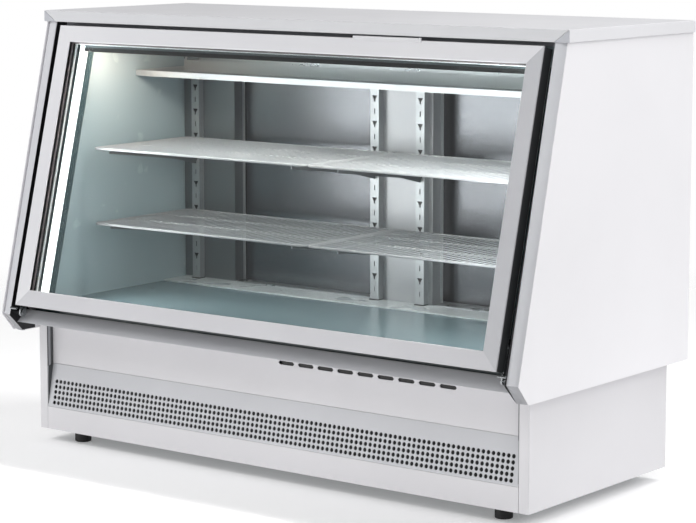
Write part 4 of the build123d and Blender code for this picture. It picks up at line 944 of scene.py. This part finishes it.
# Name, number of fins, first fin's x, pitch and sheet, then the edges' reach in y and in z
coils = (
    ("condenser_fin_edges", 78, -575.6, 4.0, 0.8, (-200.7, -199.6), (36.0, 218.0)),
    ("cooling_coil_fin_edges", 240, -598.0, 5.0, 1.0, (119.3, 250.7), (945.3, 984.0)),
)
for name, fin_count, first_x, fin_pitch, fin_sheet, reach_y, reach_z in coils:
    fins = Stock()
    for i in range(fin_count):
        x = first_x + fin_pitch * i
        fins.box(x, x + fin_sheet, *reach_y, *reach_z)
    make(name, fins, "cabinet", "fin_metal")

screw_profile = [(0.0, 2.2), (2.2, 2.1), (4.2, 1.3), (4.8, 0.0), (0.0, 0.0)]
screw_columns = (-674.0, -450.0, -225.0, 0.0, 225.0, 450.0, 674.0)
control_box_x = 450.0
rear_panel_y = 314.5
screws = Stock()
for x in screw_columns:
    # The control box takes the lower screw's place
    for z in (293.0,) if x == control_box_x else (41.0, 293.0):
        screws.turned(screw_profile, (x, rear_panel_y, z), (0, 1, 0), 20)
make("rear_panel_screws", screws, "cabinet", "bright_steel", smooth_deg=50)

# Edge profiles, one up each side of a door
profile_width, profile_sheet = 11.6, 0.9
for (side, word), door_y in zip(both_sides, (325.0, 345.0)):
    profiles = Stock()
    for x in (75.4, 532.0):
        low_x, high_x = sorted((side * x, side * (x + profile_width)))
        profiles.box(low_x, high_x, door_y, door_y + profile_sheet, 354.0, 872.0)
    make(f"slide_door_{word}_edges", profiles, f"rear_door_{word}", "bright_steel", bevel=0.3)


# Feet: turned rubber blocks

foot_profile = [(0, 0), (17.5, 0), (19.5, 1.2), (20, 3), (20, 22), (18.5, 24), (18.5, 29.8), (0, 29.8)]
feet = Stock()
for x in (-620.0, 620.0):
    for y in (-200.0, 270.0):
        feet.turned(foot_profile, (x, y, 0), (0, 0, 1), 40)
make("rubber_feet", feet, "cabinet", "foot_rubber", ["feet"], smooth_deg=50)


# Studio: pale floor, soft light and the camera, in metres

def area_light(name, place, aim, size, power, colour="FFFFFF", mirrored=False, upright=(0, 0, 1)):
    """A soft lamp at a place, aimed at a point, its long side kept along a direction, in metres and watts."""
    lamp = bpy.data.lights.new(name, "AREA")
    lamp.shape = "RECTANGLE"
    lamp.size, lamp.size_y = size
    lamp.energy = power
    lamp.color = linear(colour)[:3]
    made = bpy.data.objects.new(name, lamp)
    made.location = place
    back = (Vector(place) - Vector(aim)).normalized()
    side_way = Vector(upright).cross(back).normalized()
    made.rotation_euler = Matrix((side_way, back.cross(side_way), back)).transposed().to_euler()
    made.visible_camera = False
    made.visible_glossy = mirrored
    made.visible_transmission = mirrored
    bpy.context.scene.collection.objects.link(made)
    return made


floor_radius, floor_corners = 3.4, 96
floor_circle = ring_points((0, 0, 0), (1, 0, 0), (0, 1, 0), floor_radius, floor_corners)
floor_mesh = bpy.data.meshes.new("studio_floor")
floor_mesh.from_pydata(floor_circle, [], [tuple(range(floor_corners))])
floor = bpy.data.objects.new("studio_floor", floor_mesh)

# Matt white floor: an almost even white with a faint glow, so that it stays white away from the lamps, and
# an edge that fades into the air
floor_finish, floor_tree, floor_shader, floor_place = new_finish("matt_white_floor", IOR=1.45, Roughness=0.8)
floor_tone = add_node(floor_tree, "ShaderNodeTexNoise", values={"Scale": 0.5}, links={"Vector": floor_place})
floor_mix = add_node(floor_tree, "ShaderNodeMix", settings={"data_type": "RGBA"},
                     values={6: linear("F6F6F7"), 7: linear("FAFAFA")}, links={0: floor_tone.outputs["Fac"]})
floor_tree.links.new(floor_mix.outputs[2], floor_shader.inputs["Base Color"])
floor_size = add_node(floor_tree, "ShaderNodeMapping", values={"Scale": (0.3, 0.3, 0.3)},
                      links={"Vector": floor_place})
floor_fade = add_node(floor_tree, "ShaderNodeTexGradient", settings={"gradient_type": "SPHERICAL"},
                      links={"Vector": floor_size.outputs["Vector"]})
floor_edge = add_node(floor_tree, "ShaderNodeMapRange", values={"From Max": 0.55},
                      links={"Value": floor_fade.outputs["Fac"]})
floor_tree.links.new(floor_edge.outputs["Result"], floor_shader.inputs["Alpha"])
floor_shader.inputs["Emission Color"].default_value = linear("FFFFFF")
floor_shader.inputs["Emission Strength"].default_value = 0.16
floor_mesh.materials.append(floor_finish)
bpy.context.scene.collection.objects.link(floor)

# The air is white to the eye, and dimmer in light and in reflections
world = bpy.data.worlds.new("studio_air")
bpy.context.scene.world = world
world.use_nodes = True
air = world.node_tree
seen = add_node(air, "ShaderNodeLightPath")
in_mirror = add_node(air, "ShaderNodeMath", settings={"operation": "MAXIMUM"},
                     links={0: seen.outputs["Is Glossy Ray"], 1: seen.outputs["Is Transmission Ray"]})
mirror_air = add_node(air, "ShaderNodeMix", values={2: 0.48, 3: 0.14}, links={0: in_mirror.outputs[0]})
air_strength = add_node(air, "ShaderNodeMix", values={3: 1.0},
                        links={0: seen.outputs["Is Camera Ray"], 2: mirror_air.outputs[0]})
air.nodes["Background"].inputs["Color"].default_value = (1.0, 1.0, 1.0, 1.0)
air.links.new(air_strength.outputs[0], air.nodes["Background"].inputs["Strength"])

# Studio lights: soft ones round the case, one that is seen in reflections only, and one for the top's corner
area_light("front_softbox", (-1.7, -1.8, 2.35), (0.0, -0.2, 0.75), (1.5, 1.5), 37)
area_light("low_fill", (0.6, -3.4, 0.4), (0.2, -0.2, 0.2), (2.4, 0.6), 8)
low_softbox = area_light("low_softbox", (-2.3, -3.4, 0.5), (0.2, 0.3, 0.5), (2.2, 0.95), 31, mirrored=True)
low_softbox.visible_diffuse = False
area_light("overhead_softbox", (1.2, 1.4, 3.2), (0.1, 0.2, 1.0), (1.8, 1.8), 50)
area_light("side_softbox", (3.8, 2.7, 2.6), (0.75, 0.1, 0.7), (1.8, 1.8), 78)
corner_spot = area_light("corner_spot", (2.0, -1.5, 2.5), (0.72, -0.2, 0.98), (0.5, 0.5), 0.45)
corner_spot.data.spread = 0.5

# The case's own lamps: strips along both lamp covers, the top lamp and its glow on the tray, and the warm
# patch high on the left wall
area_light("left_wall_glow", (-0.58, -0.07, 0.955), (-0.694, 0.03, 0.9), (0.08, 0.08), 0.6, "FFDCC4")
lamp_low, lamp_high = Vector(on_front(0, 120, -52)) * MM, Vector(on_front(0, 640, -52)) * MM
lamp_middle = (lamp_low + lamp_high) / 2
lamp_x = 0.654
for side in (-1, 1):
    place = Vector((side * lamp_x, lamp_middle.y, lamp_middle.z))
    area_light("lamp_strip_light", place, place + Vector((-side, 0.0, 0)), (0.02, 0.56), 5.0,
               upright=lamp_high - lamp_low)
area_light("header_glow", (0.22, -0.078, 0.966), (0.22, 0.27, 0.925), (0.86, 0.02), 0.45, "FFFAF4")
area_light("top_lamp_light", (0.0, -0.078, 0.968), (0.0, -0.12, 0.80), (1.16, 0.03), 5.0, "FFF9F2")

# The camera was fitted to the photo's edges and corners, with focal length and shift in pixels
image_width = 696
focal_pixels = 2463.2
shift_pixels = -40.0
eye = Vector((3.5011, -4.4876, 1.3140))
yaw = radians(37.609)
pitch = radians(7.448)
look = Vector((-sin(yaw) * cos(pitch), cos(yaw) * cos(pitch), -sin(pitch)))
camera_data = bpy.data.cameras.new("photo_camera")
camera_data.sensor_width = 36.0
camera_data.lens = focal_pixels * camera_data.sensor_width / image_width
camera_data.shift_y = shift_pixels / image_width
camera_data.clip_end = 60.0
camera = bpy.data.objects.new("photo_camera", camera_data)
camera.location = eye
camera.rotation_euler = look.to_track_quat("-Z", "Y").to_euler()
bpy.context.scene.collection.objects.link(camera)
bpy.context.scene.camera = camera
bpy.context.scene.view_settings.view_transform = "Standard"

# The clear panes let the studio's light through, so they cast no shadow
frame["nodes"]["door_glass"].visible_shadow = False
